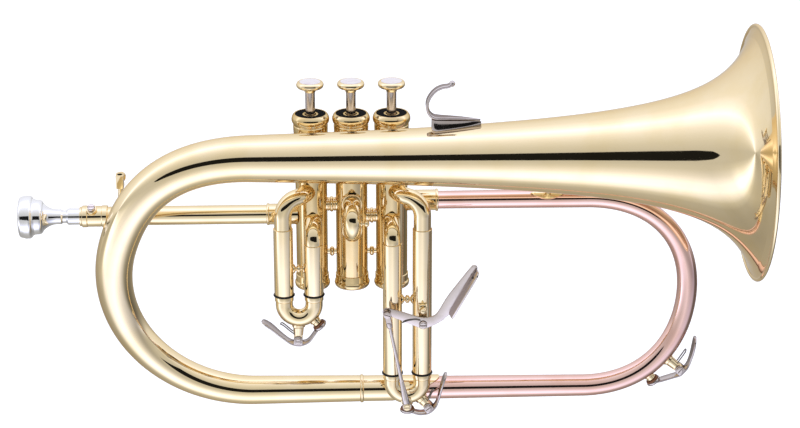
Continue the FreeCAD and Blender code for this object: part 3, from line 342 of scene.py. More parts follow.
def bead(start, along, inner, outer, width, count=AROUND):
    shoulder = (inner + outer) / 2
    return lathe(start, along, [(0, inner), (0, shoulder), ((width / 2, outer), (width, shoulder)),
                                (width, inner)], 0.08, count)


def frames_along(points, side=None):
    """Tangent and a side that doesn't twist, for each point of a path."""
    tangents = []
    for k in range(len(points)):
        tangents.append((points[min(k + 1, len(points) - 1)] - points[max(k - 1, 0)]).normalized())
    side = side or tangents[0].orthogonal()
    frames = []
    for tangent in tangents:
        side = (side - tangent * side.dot(tangent)).normalized()
        frames.append((tangent, side.copy()))
    return frames


def pipe(points, outer, wall=WALL, count=AROUND, side=None):
    """A hollow tube along points; outer is a radius or a list of radii."""
    radii = outer if isinstance(outer, list) else [outer] * len(points)
    stations = list(zip(points, frames_along(points, side), radii))
    rings = [circle_points(point, along, across, radius, count)
             for point, (along, across), radius in stations]
    rings += [circle_points(point, along, across, radius - wall, count)
              for point, (along, across), radius in reversed(stations)]
    return skin(rings, closed=True)


def rod(points, radius, count=16):
    """A solid round wire with rounded ends along points."""
    frames = frames_along(points)
    rings = []
    for turn in (0.05, 0.5, 0.85):
        rings.append(circle_points(points[0] - frames[0][0] * radius * (1 - turn), *frames[0],
                                   radius * math.sin(turn * math.pi / 2), count))
    rings += [circle_points(point, along, across, radius, count)
              for point, (along, across) in zip(points, frames)]
    for turn in (0.85, 0.5, 0.05):
        rings.append(circle_points(points[-1] + frames[-1][0] * radius * (1 - turn), *frames[-1],
                                   radius * math.sin(turn * math.pi / 2), count))
    points, faces = skin(rings)
    last = len(points) - count
    faces += [tuple(range(count - 1, -1, -1)), tuple(range(last, last + count))]
    return points, faces


def ribbon(points, halves, thickness, across, dish=0.0):
    """A solid strap with rounded edges.

    across is the direction of its width, and dish is how far its middle lies back.
    """
    section = []
    for middle, first in ((1, -90), (1, 0)):
        section += [(middle, math.radians(first + 22.5 * k)) for k in range(5)]
    section += [(share, math.pi / 2) for share in (0.5, 0.0, -0.5)]
    section += [(-1, math.radians(90 + 22.5 * k)) for k in range(9)]
    section += [(share, -math.pi / 2) for share in (-0.5, 0.0, 0.5)]
    half_thick = thickness / 2
    rings = []
    for point, half, (along, _) in zip(points, halves, frames_along(points)):
        up = along.cross(across).normalized()
        flat = max(half - half_thick, 0.05)
        round_ = min(half_thick, half * 0.8)
        rings.append([point + across * (share * flat + math.cos(turn) * round_)
                      + up * (math.sin(turn) * half_thick - dish * (1 - share * share))
                      for share, turn in section])
    points, faces = skin(rings)
    count = len(section)
    last = len(points) - count
    faces += [tuple(range(count - 1, -1, -1)), tuple(range(last, last + count))]
    return points, faces


def eased(points, faces, ease, steeper=40):
    """The same skin with its sharp edges rounded off."""
    shape = bmesh.new()
    corners = [shape.verts.new(point) for point in points]
    for face in faces:
        shape.faces.new([corners[index] for index in face])
    shape.normal_update()
    sharp = [edge for edge in shape.edges
             if len(edge.link_faces) == 2 and edge.calc_face_angle() > math.radians(steeper)]
    bmesh.ops.bevel(shape, geom=sharp, offset=ease, offset_type="OFFSET", segments=3, profile=0.5,
                    affect="EDGES", clamp_overlap=True)
    shape.verts.index_update()
    smooth_points = [corner.co.copy() for corner in shape.verts]
    smooth_faces = [tuple(corner.index for corner in face.verts) for face in shape.faces]
    shape.free()
    return smooth_points, smooth_faces


def cut_plate(outline, depth, ease=0.25):
    """A flat plate from the points round its edge, as thick as the vector depth."""
    count = len(outline)
    points = outline + [point + depth for point in outline]
    faces = [tuple(range(count)), tuple(range(2 * count - 1, count - 1, -1))]
    faces += [(k, k + count, (k + 1) % count + count, (k + 1) % count) for k in range(count)]
    return eased(points, faces, ease)


def slotted_head(base, out, across, radius, height):
    """A screw's head with its slot along across."""
    side = out.cross(across).normalized()
    shapes = [lathe(base, out, [(0, 0), (0, radius), (height - 0.6, radius), (height - 0.6, 0)], count=40)]
    for way in (-1, 1):
        edge = [base + out * (height - 0.6) + across * (radius * math.cos(turn))
                + side * (way * max(radius * math.sin(turn), 0.35))
                for turn in (math.pi * k / 16 for k in range(17))]
        shapes.append(cut_plate(edge, out * 0.6, 0.15))
    return shapes


def curve_points(knots, start_along=None, end_along=None, steps=12):
    """A smooth line through knots."""
    tangents = []
    for k in range(len(knots)):
        tangents.append((knots[min(k + 1, len(knots) - 1)] - knots[max(k - 1, 0)]) / 2)
    if start_along:
        tangents[0] = start_along.normalized() * (knots[1] - knots[0]).length
    if end_along:
        tangents[-1] = end_along.normalized() * (knots[-1] - knots[-2]).length
    points = []
    for a, b, ta, tb in zip(knots, knots[1:], tangents, tangents[1:]):
        for step in range(steps):
            t = step / steps
            points.append(a * (2 * t ** 3 - 3 * t ** 2 + 1) + ta * (t ** 3 - 2 * t ** 2 + t)
                          + b * (3 * t ** 2 - 2 * t ** 3) + tb * (t ** 3 - t ** 2))
    return points + [knots[-1]]


def rounded(corners, radius, steps=14):
    """Straight runs through the corners, with every corner rounded."""
    points = [corners[0]]
    for before, corner, after in zip(corners, corners[1:], corners[2:]):
        back, ahead = (before - corner).normalized(), (after - corner).normalized()
        half = back.angle(ahead) / 2
        centre = corner + (back + ahead).normalized() * (radius / math.sin(half))
        arm = corner + back * (radius / math.tan(half)) - centre
        reach = back * -radius
        turn = math.pi - 2 * half
        points += [centre + arm * math.cos(turn * k / steps) + reach * math.sin(turn * k / steps)
                   for k in range(steps + 1)]
    return points + [corners[-1]]


def straight(start, end, steps=6):
    return [start.lerp(end, step / steps) for step in range(steps + 1)]


def bend(centre, start, along, turn, steps=32):
    """Points of a bow that leaves start in the direction along, round centre."""
    arm = start - centre
    reach = along.normalized() * arm.length
    return [centre + arm * math.cos(turn * k / steps) + reach * math.sin(turn * k / steps)
            for k in range(steps + 1)]


# Bell

BOW_TOP, BOW_FOOT = V((BOW_X, BELL_Y, BELL_Z)), V((BOW_X, 0, BOTTOM_Z))
BOW_CENTRE = (BOW_TOP + BOW_FOOT) / 2
BOW_R = (BOW_TOP - BOW_FOOT).length / 2
BOW_UP = (BOW_TOP - BOW_CENTRE).normalized()
BOW_START_RUN = MOUTH_X - BOW_X
BOW_END_RUN = BOW_START_RUN + math.pi * BOW_R


def bell_radius(run):
    gain = (MOUTH_R + BELL_OFFSET) * BELL_LEAD ** BELL_POWER
    share = (run - 200) / (BOW_END_RUN - 200)
    fuller = BELL_FULLNESS * math.sin(math.pi * share) if 0 < share < 1 else 0
    return gain * (run + BELL_LEAD) ** -BELL_POWER - BELL_OFFSET + fuller


def bulge(angle, span, height):
    return height * math.sin(math.pi * angle / span) ** 2 if 0 < angle < span else 0


def bow_point(angle):
    radius = BOW_R + bulge(angle, math.radians(75), BOW_BULGE)
    return BOW_CENTRE + BOW_UP * (radius * math.cos(angle)) - RIGHT * (radius * math.sin(angle))


def make_bell():
    """The whole bell in one skin: outside wall, wire bead of the rim and inside wall."""
    flare_steps, bow_steps = 110, 110
    runs = [3.0 + (BOW_START_RUN - 3.0) * (k / flare_steps) ** 1.9 for k in range(flare_steps)]
    stations = [(V((MOUTH_X - run, BELL_Y, BELL_Z)), bell_radius(run)) for run in runs]
    for k in range(bow_steps + 1):
        angle = math.pi * k / bow_steps
        stations.append((bow_point(angle), bell_radius(BOW_START_RUN + BOW_R * angle)))
    for k in range(1, 13):
        run = (TAIL_END_X - BOW_X) * k / 12
        stations.append((BOW_FOOT + RIGHT * run, bell_radius(BOW_END_RUN + run)))
    frames = frames_along([centre for centre, _ in stations], BOW_UP.cross(RIGHT))
    count = 160
    outside = [circle_points(centre, *axes, radius, count)
               for (centre, radius), axes in zip(stations, frames)]
    inside = [circle_points(centre, *axes, radius - WALL, count)
              for (centre, radius), axes in zip(stations, frames)]
    along, side = frames[0]
    mouth = V((MOUTH_X, BELL_Y, BELL_Z))
    rim_outline = [(-2.0, 70.0), (-1.2, 71.6), (-0.5, 72.9), (0.0, 73.6), (0.5, 73.9)]
    rim_outline += arc_through((0.5, 73.9), (0.8, 74.8), (0.5, 75.9), 6)
    rim_outline += arc_through((0.5, 75.9), (-0.4, 76.4), (-1.4, 75.9), 8)
    rim_outline += arc_through((-1.4, 75.9), (-1.75, 75.0), (-1.3, 74.0), 6)
    rim_outline += [(-1.5, 73.0), (-2.2, 71.3)]
    rim = [circle_points(mouth + RIGHT * x, along, side, radius, count) for x, radius in rim_outline]
    make_piece("bell_skin", [skin(inside[::-1] + rim + outside, closed=True)], "lacquered_brass", "horn",
               "bell", crease=50)


def make_ferrules():
    axis = V((TAIL_END_X, 0, BOTTOM_Z))
    side = RIGHT.cross(V((0, 1, 0)))
    stations = []
    for radius in (FERRULE_R, ROSE_START_R + 0.02):
        base = circle_points(axis, RIGHT, side, radius)
        tips = []
        for point in base:
            reach = 18 + (point.z + 136) * (58.9 - 18) / 21
            tips.append(V((reach, point.y, point.z)))
        stations.append((base, tips))
    (base, tips), (inner_base, inner_tips) = stations
    brink = [tip - RIGHT * 0.3 for tip in tips]
    rings = [base] + [[a.lerp(b, k / 8) for a, b in zip(base, brink)] for k in range(1, 9)]
    rings += [[a.lerp(b, 0.6) for a, b in zip(tips, inner_tips)], inner_tips, inner_base]
    make_piece("tail_ferrule", [skin(rings, closed=True),
                                bead(axis, RIGHT, ROSE_START_R, FERRULE_R + 0.8, 2.2)],
               "lacquered_brass", "horn", "bell_tail_ferrule")
    reach = EXIT_FERRULE_END - VALVE_PITCH
    start = V((VALVE_PITCH, 0, 0))
    make_piece("exit_ferrule_turned", [
        lathe(start, RIGHT, [(CASING_R - 1.5, ROSE_END_R), (CASING_R - 1.5, EXIT_FERRULE_R),
                             (reach - 1.6, EXIT_FERRULE_R), (reach - 1.6, EXIT_FERRULE_R + 0.3),
                             ((reach - 0.8, EXIT_FERRULE_R + 0.55), (reach, EXIT_FERRULE_R + 0.2)),
                             (reach, ROSE_END_R)])],
        "lacquered_brass", "horn", "exit_ferrule")


# Rose-brass branch

ROSE_BOW_R = -BOTTOM_Z / 2
ROSE_CENTRE = V((ROSE_BOW_X, 0, BOTTOM_Z / 2))
ROSE_END_X = EXIT_FERRULE_END - 14
ROSE_LENGTH = (ROSE_BOW_X - ROSE_START_X) + math.pi * ROSE_BOW_R + (ROSE_BOW_X - ROSE_END_X)


def rose_radius(run):
    return ROSE_START_R + (ROSE_END_R - ROSE_START_R) * run / ROSE_LENGTH


def rose_point(turn):
    radius = ROSE_BOW_R + bulge(turn, math.radians(80), ROSE_BULGE[1])
    radius += bulge(math.pi - turn, math.radians(100), ROSE_BULGE[0])
    return ROSE_CENTRE + V((math.sin(turn), 0, -math.cos(turn))) * radius


def make_rose_branch():
    lower = ROSE_BOW_X - ROSE_START_X
    points = [V((ROSE_START_X + lower * k / 20, 0, BOTTOM_Z)) for k in range(20)]
    runs = [lower * k / 20 for k in range(20)]
    for k in range(97):
        turn = math.pi * k / 96
        points.append(rose_point(turn))
        runs.append(lower + turn * ROSE_BOW_R)
    for k in range(1, 21):
        run = (ROSE_BOW_X - ROSE_END_X) * k / 20
        points.append(V((ROSE_BOW_X - run, 0, 0)))
        runs.append(lower + math.pi * ROSE_BOW_R + run)
    make_piece("rose_tube", [pipe(points, [rose_radius(run) for run in runs], side=V((0, 1, 0)))],
               "rose_brass", "horn", "rose_branch")


# Valves

def make_valve(index):
    x = VALVE_PITCH * (index - 2)
    top, bottom = V((x, 0, CASING_TOP)), V((x, 0, CASING_BOTTOM))
    make_piece("casing_tube_%d" % index, [lathe(bottom, UP, [
        (0, CASING_BORE), (0, CASING_R), (CASING_TOP - CASING_BOTTOM, CASING_R),
        (CASING_TOP - CASING_BOTTOM, CASING_BORE)])],
        "valve_brass", "horn", "casing_%d" % index)
    make_piece("top_cap_turned_%d" % index, [lathe(top, UP, [
        (-5.6, CASING_R), (-5.6, 10.3), (-1.0, 10.45), (-0.6, 10.15), (0, 10.3),
        ((3.2, 11.35), (6.0, 10.1)), ((6.3, 9.7), (6.2, 9.2)), (5.2, 9.2), (5.2, 4.7), (5.9, 4.7),
        (5.9, STEM_R + 0.6), (2.5, STEM_R + 0.6), (2.5, 8.6), (0, 8.6), (0, CASING_R)])],
        "valve_brass", "horn", "top_cap_%d" % index)
    make_piece("bottom_cap_turned_%d" % index, [lathe(bottom, UP, [
        (-1.6, 2.0), (-1.6, 8.4), ((-1.4, 9.7), (0.2, 10.65)), ((1.9, 10.6), (2.6, 10.1)),
        (6.6, 10.1), (7.0, CASING_R), (0, CASING_R), (0, 2.0)])],
        "valve_brass", "horn", "bottom_cap_%d" % index)
    button = V((x, 0, BUTTON_Z))
    make_piece("button_turned_%d" % index, [lathe(button, UP, [
        (-2.4, STEM_R), (-2.4, 3.3), (-0.6, 3.4), ((-0.1, 3.9), (0, 5.6)),
        ((2.0, 8.25), (4.0, 6.9)), (4.0, 6.3), (3.2, 6.3), (3.2, 0), (0, 0), (0, STEM_R)])],
        "lacquered_brass", "valve_%d" % index, "button_%d" % index)
    make_piece("pearl_disc_%d" % index, [lathe(button + UP * 3.2, UP, [
        (0, 0), (0, 6.3), (0.8, 6.3), ((1.0, 5.6), (1.15, 4.0)), (1.2, 2.0), (1.2, 0)])],
        "pearl", "valve_%d" % index, "pearl_%d" % index)


# Valve slides

def sleeve(top, along, length):
    return lathe(top, along, [
        (0, TUBE_R - 0.1), (0, SLEEVE_R - 0.3), ((0.1, SLEEVE_R - 0.1), (0.4, SLEEVE_R)),
        (length, SLEEVE_R), (length, TUBE_R + FIT), (LAP, TUBE_R + FIT), (LAP, TUBE_R - 0.1)])


def turned_stay(start, end, foot, neck):
    span = end - start
    length = span.length
    flange = min(1.0, length / 5)
    middle = length / 2
    swell = min(1.3, length / 5)
    return lathe(start, span, [
        (0, 0), (0, foot), (flange * 0.5, foot),
        ((flange, foot * 0.8), (flange * 1.5, neck)), (middle - swell, neck),
        ((middle, neck + swell), (middle + swell, neck)), (length - flange * 1.5, neck),
        ((length - flange, foot * 0.8), (length - flange * 0.5, foot)), (length, foot), (length, 0)],
        count=48)


def crook_centre(index):
    """Centre of the bow of an outer slide's crook."""
    return V((sum(SLIDE_LEGS[index]) / 2, SLIDE_Y, CROOK_BOW[index]))


def make_outer_slide(index):
    casing_x = VALVE_PITCH * (index - 2)
    long_x, short_x = SLIDE_LEGS[index]
    foot = SLEEVE_FOOT[index]
    way = V((math.copysign(0.35, casing_x), -1, 0)).normalized()
    start = V((casing_x, 0, LONG_PORT_Z))
    drop = V((long_x, SLIDE_Y, LONG_TOP[index]))
    shoulder = V((casing_x + (long_x - casing_x) * 0.86, SLIDE_Y + 1.0, LONG_PORT_Z - 1.5))
    line = rounded([start + way * 8.2, start + way * 14.8, shoulder,
                    V((long_x, SLIDE_Y, LONG_PORT_Z - 9.8)), drop - UP * LAP], 10.0)
    reach = -SLIDE_Y - CASING_R
    centre = V((short_x, SLIDE_Y + reach, SHORT_PORT_Z - reach))
    elbow_start = V((short_x, SLIDE_Y + reach, SHORT_PORT_Z))
    short_top = SHORT_PORT_Z - reach
    elbow = [elbow_start + V((0, 1.2, 0))] + bend(centre, elbow_start, FRONT, math.pi / 2)
    elbow.append(V((short_x, SLIDE_Y, short_top - LAP)))
    low, high = sorted((long_x, short_x))
    z = SLEEVE_STAY[index]
    shapes = [pipe(line, TUBE_R), pipe(elbow, TUBE_R),
              sleeve(drop, UP * -1, LONG_TOP[index] - foot),
              sleeve(V((short_x, SLIDE_Y, short_top)), UP * -1, short_top - foot),
              turned_stay(V((low + SLEEVE_R - 0.2, SLIDE_Y, z)), V((high - SLEEVE_R + 0.2, SLIDE_Y, z)),
                          2.9, 1.3)]
    make_piece("slide_%d_branches" % index, shapes, "lacquered_brass", "horn", "slide_%d_sleeves" % index)

    leg_top, bow_z = CROOK_TOP[index], CROOK_BOW[index]
    turn_start = V((low, SLIDE_Y, bow_z))
    path = straight(V((low, SLIDE_Y, leg_top)), turn_start)[:-1]
    path += bend(crook_centre(index), turn_start, UP * -1, math.pi, 48)
    path += straight(V((high, SLIDE_Y, bow_z)), V((high, SLIDE_Y, leg_top)))[1:]
    collars = [lathe(V((x, SLIDE_Y, foot - 1.3)), UP * -1, [
        (0, TUBE_R - 0.1), (0, SLEEVE_R - 0.15), (2.8, SLEEVE_R - 0.15), (3.4, TUBE_R - 0.1)])
        for x in (low, high)]
    make_piece("slide_%d_bow" % index, [pipe(path, TUBE_R, side=V((0, 1, 0)))] + collars,
               "lacquered_brass", "slide_%d" % index, "slide_%d_crook" % index)
    rings = [bead(V((x, SLIDE_Y, foot - 0.05)), UP * -1, TUBE_R, SLEEVE_R + 0.65, 1.2) for x in (low, high)]
    make_piece("slide_%d_stop_rings" % index, rings, "black_rubber", "slide_%d" % index,
               "slide_%d_rings" % index)


def make_middle_slide():
    lip = 5.8
    tops = [V((0, 0, SLIDE_2_TOP)), V((0, 0, SLIDE_2_TOP - SLIDE_2_GAP))]
    length = CASING_R + lip
    make_piece("slide_2_branches", [lathe(top, FRONT, [
        (8.2, TUBE_R + FIT), (8.2, SLEEVE_R), (length - 1.6, SLEEVE_R),
        ((length - 0.8, SLEEVE_R + 0.5), (length, SLEEVE_R)), (length, TUBE_R + FIT)])
        for top in tops], "lacquered_brass", "horn", "slide_2_sleeves")
    start = V((0, -CASING_R - 0.6, SLIDE_2_TOP))
    turn_start = V((0, SLIDE_2_BOW_Y, SLIDE_2_TOP))
    low = UP * -SLIDE_2_GAP
    path = straight(start, turn_start)[:-1]
    path += bend(turn_start + low / 2, turn_start, FRONT, math.pi, 48)
    path += straight(turn_start + low, start + low)[1:]
    side = V((TUBE_R - 0.3, SLIDE_2_BOW_Y - SLIDE_2_GAP / 2 + 1, SLIDE_2_TOP - SLIDE_2_GAP / 2))
    knob = lathe(side, RIGHT, [(0, 0), (0, 1.9), (0.6, 1.9), ((1.0, 1.6), (1.3, 1.0)), (1.9, 1.0),
                               ((3.6, 2.1), (5.2, 0.8)), (5.3, 0)], count=32)
    make_piece("slide_2_bow", [pipe(path, TUBE_R, side=RIGHT), knob], "lacquered_brass", "slide_2",
               "slide_2_crook")


# Mouthpipe and mouthpiece

def make_mouthpipe():
    axis = V((0, 0, MOUTHPIPE_Z))
    open_end = axis + RIGHT * RECEIVER_X
    casing = -VALVE_PITCH - CASING_R + 1.2
    make_piece("mouthpipe_tube", [lathe(axis, RIGHT, [
        (RECEIVER_X + 1.0, SHANK_R + FIT), (RECEIVER_X + 1.0, MOUTHPIPE_R), (-51.6, MOUTHPIPE_R),
        (-51.6, MOUTHPIPE_R + 0.5), ((-50.8, MOUTHPIPE_R + 1.0), (-50.0, MOUTHPIPE_R + 0.6)),
        (casing, MOUTHPIPE_R + 0.6), (casing, SHANK_R + FIT)])], "lacquered_brass", "horn", "mouthpipe")
    lean = math.radians(54)
    out = V((0, -math.cos(lean), math.sin(lean)))
    boss_axis = axis + RIGHT * CLAMP_BOSS_X
    make_piece("mouthpipe_clamp_turned", [lathe(open_end, RIGHT, [
        (0, SHANK_R + FIT), (0, 6.3), ((0.3, 6.6), (0.7, 6.65)), (3.0, 6.65), (3.4, 6.35), (11.8, 6.35),
        (12.2, 6.65), (14.8, 6.65), ((15.2, 6.6), (15.4, 6.3)), (15.4, MOUTHPIPE_R), (1.0, MOUTHPIPE_R),
        (1.0, SHANK_R + FIT)]),
        lathe(boss_axis + out * 5.9, out, [(0, 1.23), (0, 3.3), (2.1, 3.3), ((2.5, 3.1), (2.7, 2.8)),
                                           (2.7, 1.23)], count=48)],
        "lacquered_brass", "horn", "mouthpipe_clamp")
    wide, narrow = 4.95 + FIT, 4.35 + FIT
    make_piece("tuning_shank_turned", [lathe(open_end - RIGHT * 1.4, RIGHT, [
        (0, wide), (0, 5.6), ((0.1, 5.9), (0.4, 5.9)), (1.3, 5.9), (1.3, SHANK_R), (38, SHANK_R),
        (38, SHANK_R - 0.5), (27, SHANK_R - 0.5), (27, narrow)])],
        "lacquered_brass", "tuning_shank", "tuning_shank")
    make_piece("mouthpiece_turned", [lathe(V((MOUTHPIECE_X, 0, MOUTHPIPE_Z)), RIGHT, [
        (2.2, 8.2), ((0.0, 10.6), (2.3, 12.6)), (4.0, 13.1), (5.6, 13.0), ((7.4, 12.6), (8.2, 11.4)),
        (9.6, 10.7), (12.3, 10.5), ((13.9, 9.6), (14.6, 8.3)), ((18.4, 5.6), (25.3, 4.6)),
        ((25.9, 4.2), (26.4, 3.8)), (28.6, 3.8), ((29.1, 4.5), (29.7, 5.0)), (36.4, 4.95), (60.5, 4.38),
        (60.5, 3.3), (20.0, 2.1), ((12.0, 5.9), (2.2, 8.2))])],
        "silver_plate", "mouthpiece", "mouthpiece")


# Water keys

CORK_SEAT = 3.08                            # underside of a cork over the tube
EAR_R, EAR_Y = 2.7, 2.7                     # a lever's ears: round the hinge, and from its middle
BOW_SKIN = LEG_GAP / 2 + TUBE_R
ROSE_SKIN = ROSE_BOW_R + 0.9 + 6.5          # outside of the rose bow where its key sits


class Hinge:
    """Axes of a water key's hinge: x to the touch, y along the hinge, z away from the bow.

    side is 1 or -1 for the way round the bow, rise lifts the touch, and tip is the far end of the
    key's spring as (x, z).
    """

    def __init__(self, body, hinge, bow_centre, skin_r, nipple_turn, side, rise, tip):
        self.body, self.hinge, self.rise, self.tip = body, hinge, rise, tip
        self.out = (hinge - bow_centre).normalized()
        self.tail = V((self.out.z, 0, -self.out.x)) * side
        self.across = self.out.cross(self.tail)
        turn = math.radians(nipple_turn)
        self.nipple_way = (-math.sin(turn), math.cos(turn))
        self.nipple_reach = skin_r + CORK_SEAT
        self.height = (hinge - bow_centre).length

    def at(self, x, z, y=0.0):
        return self.hinge + self.tail * x + self.across * y + self.out * z

    def over_nipple(self, lift):
        """A point on the nipple's axis, lift above its seat, as (x, z)."""
        far = self.nipple_reach + lift
        return self.nipple_way[0] * far, self.nipple_way[1] * far - self.height


KEYS = {
    "key_1": Hinge("slide_1", V((-33.5, SLIDE_Y, -82.0)), crook_centre(1), BOW_SKIN, 43, 1, 0, (10.8, -9.6)),
    "key_3": Hinge("slide_3", V((45.9, SLIDE_Y, -128.6)), crook_centre(3), BOW_SKIN, 37, -1, 0.6,
                   (9.0, -6.4)),
    "key_main": Hinge("horn", V((204.2, 0, -114.7)), ROSE_CENTRE, ROSE_SKIN, 12.8, -1, 4.6, (12.0, -5.2))}


def make_key_lever(name, key):
    """The strap from the cork's cup over the hinge to the finger's touch, with two ears at the hinge."""
    cup_x, cup_z = key.over_nipple(2.6)
    rise = key.rise
    knots = [(cup_x - 2.2, cup_z - 1.4), (cup_x + 1.5, cup_z + 0.9), (-7.0, 0.4), (-3.2, 2.7), (0.5, 3.2),
             (5.0, 1.9 + rise * 0.2), (10.5, -2.2 + rise * 0.6), (16.5, -7.4 + rise), (22.4, -11.3 + rise)]
    line = curve_points([key.at(x, z) for x, z in knots])
    places = [(point - key.hinge).dot(key.tail) for point in line]
    stops = [(cup_x - 2.2, 1.8), (cup_x + 3.0, 3.2), (-5.0, 3.4), (-2.6, 3.8), (3.0, 3.8), (7.0, 3.4),
             (12.0, 3.9), (16.5, 4.6), (20.0, 4.2), (21.8, 2.7), (22.4, 0.8)]
    sizes = curve_points([V((place, size, 0)) for place, size in stops])
    halves = [min(sizes, key=lambda size: abs(size.x - place)).y for place in places]
    shapes = [ribbon(line, halves, 1.25, key.across, 0.35)]
    way = key.at(*key.nipple_way) - key.hinge
    x, z = key.over_nipple(1.0)
    shapes.append(lathe(key.at(x, z), way, [
        (0, 4.0), (0, 4.45), ((1.2, 4.5), (2.1, 3.4)), (2.1, 0), (0.9, 0), (0.9, 4.0)], count=48))
    for side in (-1, 1):
        y = side * EAR_Y
        outline = [key.at(-EAR_R, 3.4, y)]
        outline += [key.at(-EAR_R * math.cos(turn), -EAR_R * math.sin(turn), y)
                    for turn in (math.pi * k / 12 for k in range(13))]
        outline.append(key.at(EAR_R, 3.2, y))
        shapes.append(cut_plate(outline, key.across * side, 0.2))
    # Strap, cup and ears wear the darker copy of nickel silver, which is painted shade.
    make_piece(name + "_strap", shapes, "lever_nickel_painted_shade", name, name + "_lever", slot="nickel_silver")


def make_key_spring(name, key):
    """A wire loop from both sides of the post, bent out under the touch."""
    far, drop = key.tip
    half, foot = 1.7, -3.4
    knee = foot + (drop - foot) * 0.25
    leg = [(1.6, foot, half), (4.2, knee, half), (far - 1.5, drop + 0.4, half), (far, drop, half * 0.55)]
    knots = [key.at(x, z, y) for x, z, y in leg] + [key.at(x, z, -y) for x, z, y in reversed(leg)]
    make_piece(name + "_spring", [rod(curve_points(knots), 0.38)], "spring_steel", key.body)


# Third-slide trigger

def make_trigger():
    """The flat lever with its folded finger plate, and the pin that carries the rod."""
    front = TRIGGER_Y - 0.7
    top = [(21.5, -58.4), (30.0, -61.0), (38.0, -63.8), (44.5, -64.7), (49.6, -63.2), (52.3, -59.6),
           (56.9, -51.4), (62.6, -43.4), (67.8, -36.4), (71.2, -32.0)]
    under = [(58.8, -62.9), (56.6, -64.2), (54.0, -66.8), (49.3, -69.6), (44.5, -71.6), (41.0, -71.8),
             (35.5, -69.4), (29.0, -66.4), (21.5, -63.2)]
    edge = curve_points([V((x, front, z)) for x, z in top], steps=4)
    edge += [V((x, front, z)) for x, z in arc_through((71.2, -32.0), (73.6, -31.0), (75.0, -33.3), 6)]
    edge += curve_points([V((x, front, z)) for x, z in under], steps=4)
    edge += [V((x, front, z)) for x, z in arc_through((21.5, -63.2), (17.8, -60.8), (21.5, -58.4), 8)][:-1]
    shapes = [cut_plate(edge, V((0, 1.4, 0)), 0.3)]
    foot, tip = V((58.8, front + 0.4, -62.9)), V((74.9, front + 0.4, -33.5))
    along = (tip - foot).normalized()
    away = V((along.z, 0, -along.x))
    width, corner = 6.4, 3.4
    lean = FRONT * 0.97 + away * 0.24
    outline = [foot, foot + lean * (width - 0.6), foot + lean * width + along * 0.8]
    outline += [tip - along * (corner - corner * math.sin(turn))
                + lean * (width - corner + corner * math.cos(turn))
                for turn in (math.pi / 2 * k / 8 for k in range(9))]
    outline.append(tip)
    shapes.append(cut_plate(outline, away * -1.2, 0.3))
    pin = V((ROD_TOP.x, front, ROD_TOP.z))
    reach = front - ROD_TOP.y + 1.4
    shapes.append(lathe(pin, FRONT, [(0, 0), (0, 0.95), (reach, 0.95), (reach, 0)], count=32))
    shapes += slotted_head(pin + FRONT * reach, FRONT, V((0.94, 0, -0.34)), 2.1, 1.2)
    make_piece("trigger_plate", shapes, "nickel_silver", "trigger", "trigger_lever")
    # A black disc set through the finger plate, which has no hole, stands for the dark eyelet hole: painted
    # shade.
    eyelet = tip - along * 5.2 + lean * (width * 0.5)
    make_piece("trigger_eyelet_shade", [lathe(eyelet - away * 0.1, away, [
        (-1.3, 0), (-1.3, 0.8), (0.16, 0.8), (0.16, 0)], count=24)], "black_rubber", "trigger")


def make_trigger_spring():
    """A torsion coil behind the lever, its arm laid over the lever's face and hooked below its edge."""
    x, z = TRIGGER_PIVOT
    radius, turns, coil_y, length, steps = 2.85, 2.5, -27.4, 1.5, 60
    coil = []
    for k in range(steps + 1):
        angle = 2 * math.pi * turns * k / steps
        coil.append(V((x + radius * math.cos(angle), coil_y - length * k / steps,
                       z + radius * math.sin(angle))))
    make_piece("trigger_coil", [rod(coil, 0.35)], "spring_steel", "horn")
    face = TRIGGER_Y - 1.15
    arm = [V((40.4, face, -66.2)), V((38.0, face, -65.6)), V((34.0, face, -66.0)), V((31.2, face, -66.9)),
           V((30.2, face + 0.4, -67.5)), V((29.9, TRIGGER_Y, -67.8))]
    make_piece("trigger_spring_arm", [rod(curve_points(arm), 0.42)], "spring_steel", "trigger")


# Finger hook

def hook_plate():
    """The pointed plate under the hook: its underside follows the bell, its top is nearly level."""
    start, end, steps, lip = 46.8, 76.0, 24, 0.9
    rings = []
    for k in range(steps + 1):
        share = k / steps
        x = start + (end - start) * share
        half = 4.5 * min(1.0, math.sqrt(min(share * 12, 1.0)) * 0.35 + 0.65) * (1 - share ** 1.6) + 0.3
        radius = bell_radius(MOUTH_X - x) + 0.02
        low, middle = BELL_Z + math.sqrt(radius * radius - half * half), BELL_Z + radius
        top = max(62.6 - 1.6 * share, low + lip)
        section = [(-half, low - 0.05), (0, middle - 0.05), (half, low - 0.05), (half, low + lip),
                   (half * 0.55, top), (-half * 0.55, top), (-half, low + lip)]
        rings.append([V((x, BELL_Y + y, z)) for y, z in section])
    points, faces = skin(rings)
    count = len(rings[0])
    last = len(points) - count
    faces += [tuple(range(count - 1, -1, -1)), tuple(range(last, last + count))]
    return eased(points, faces, 0.2)


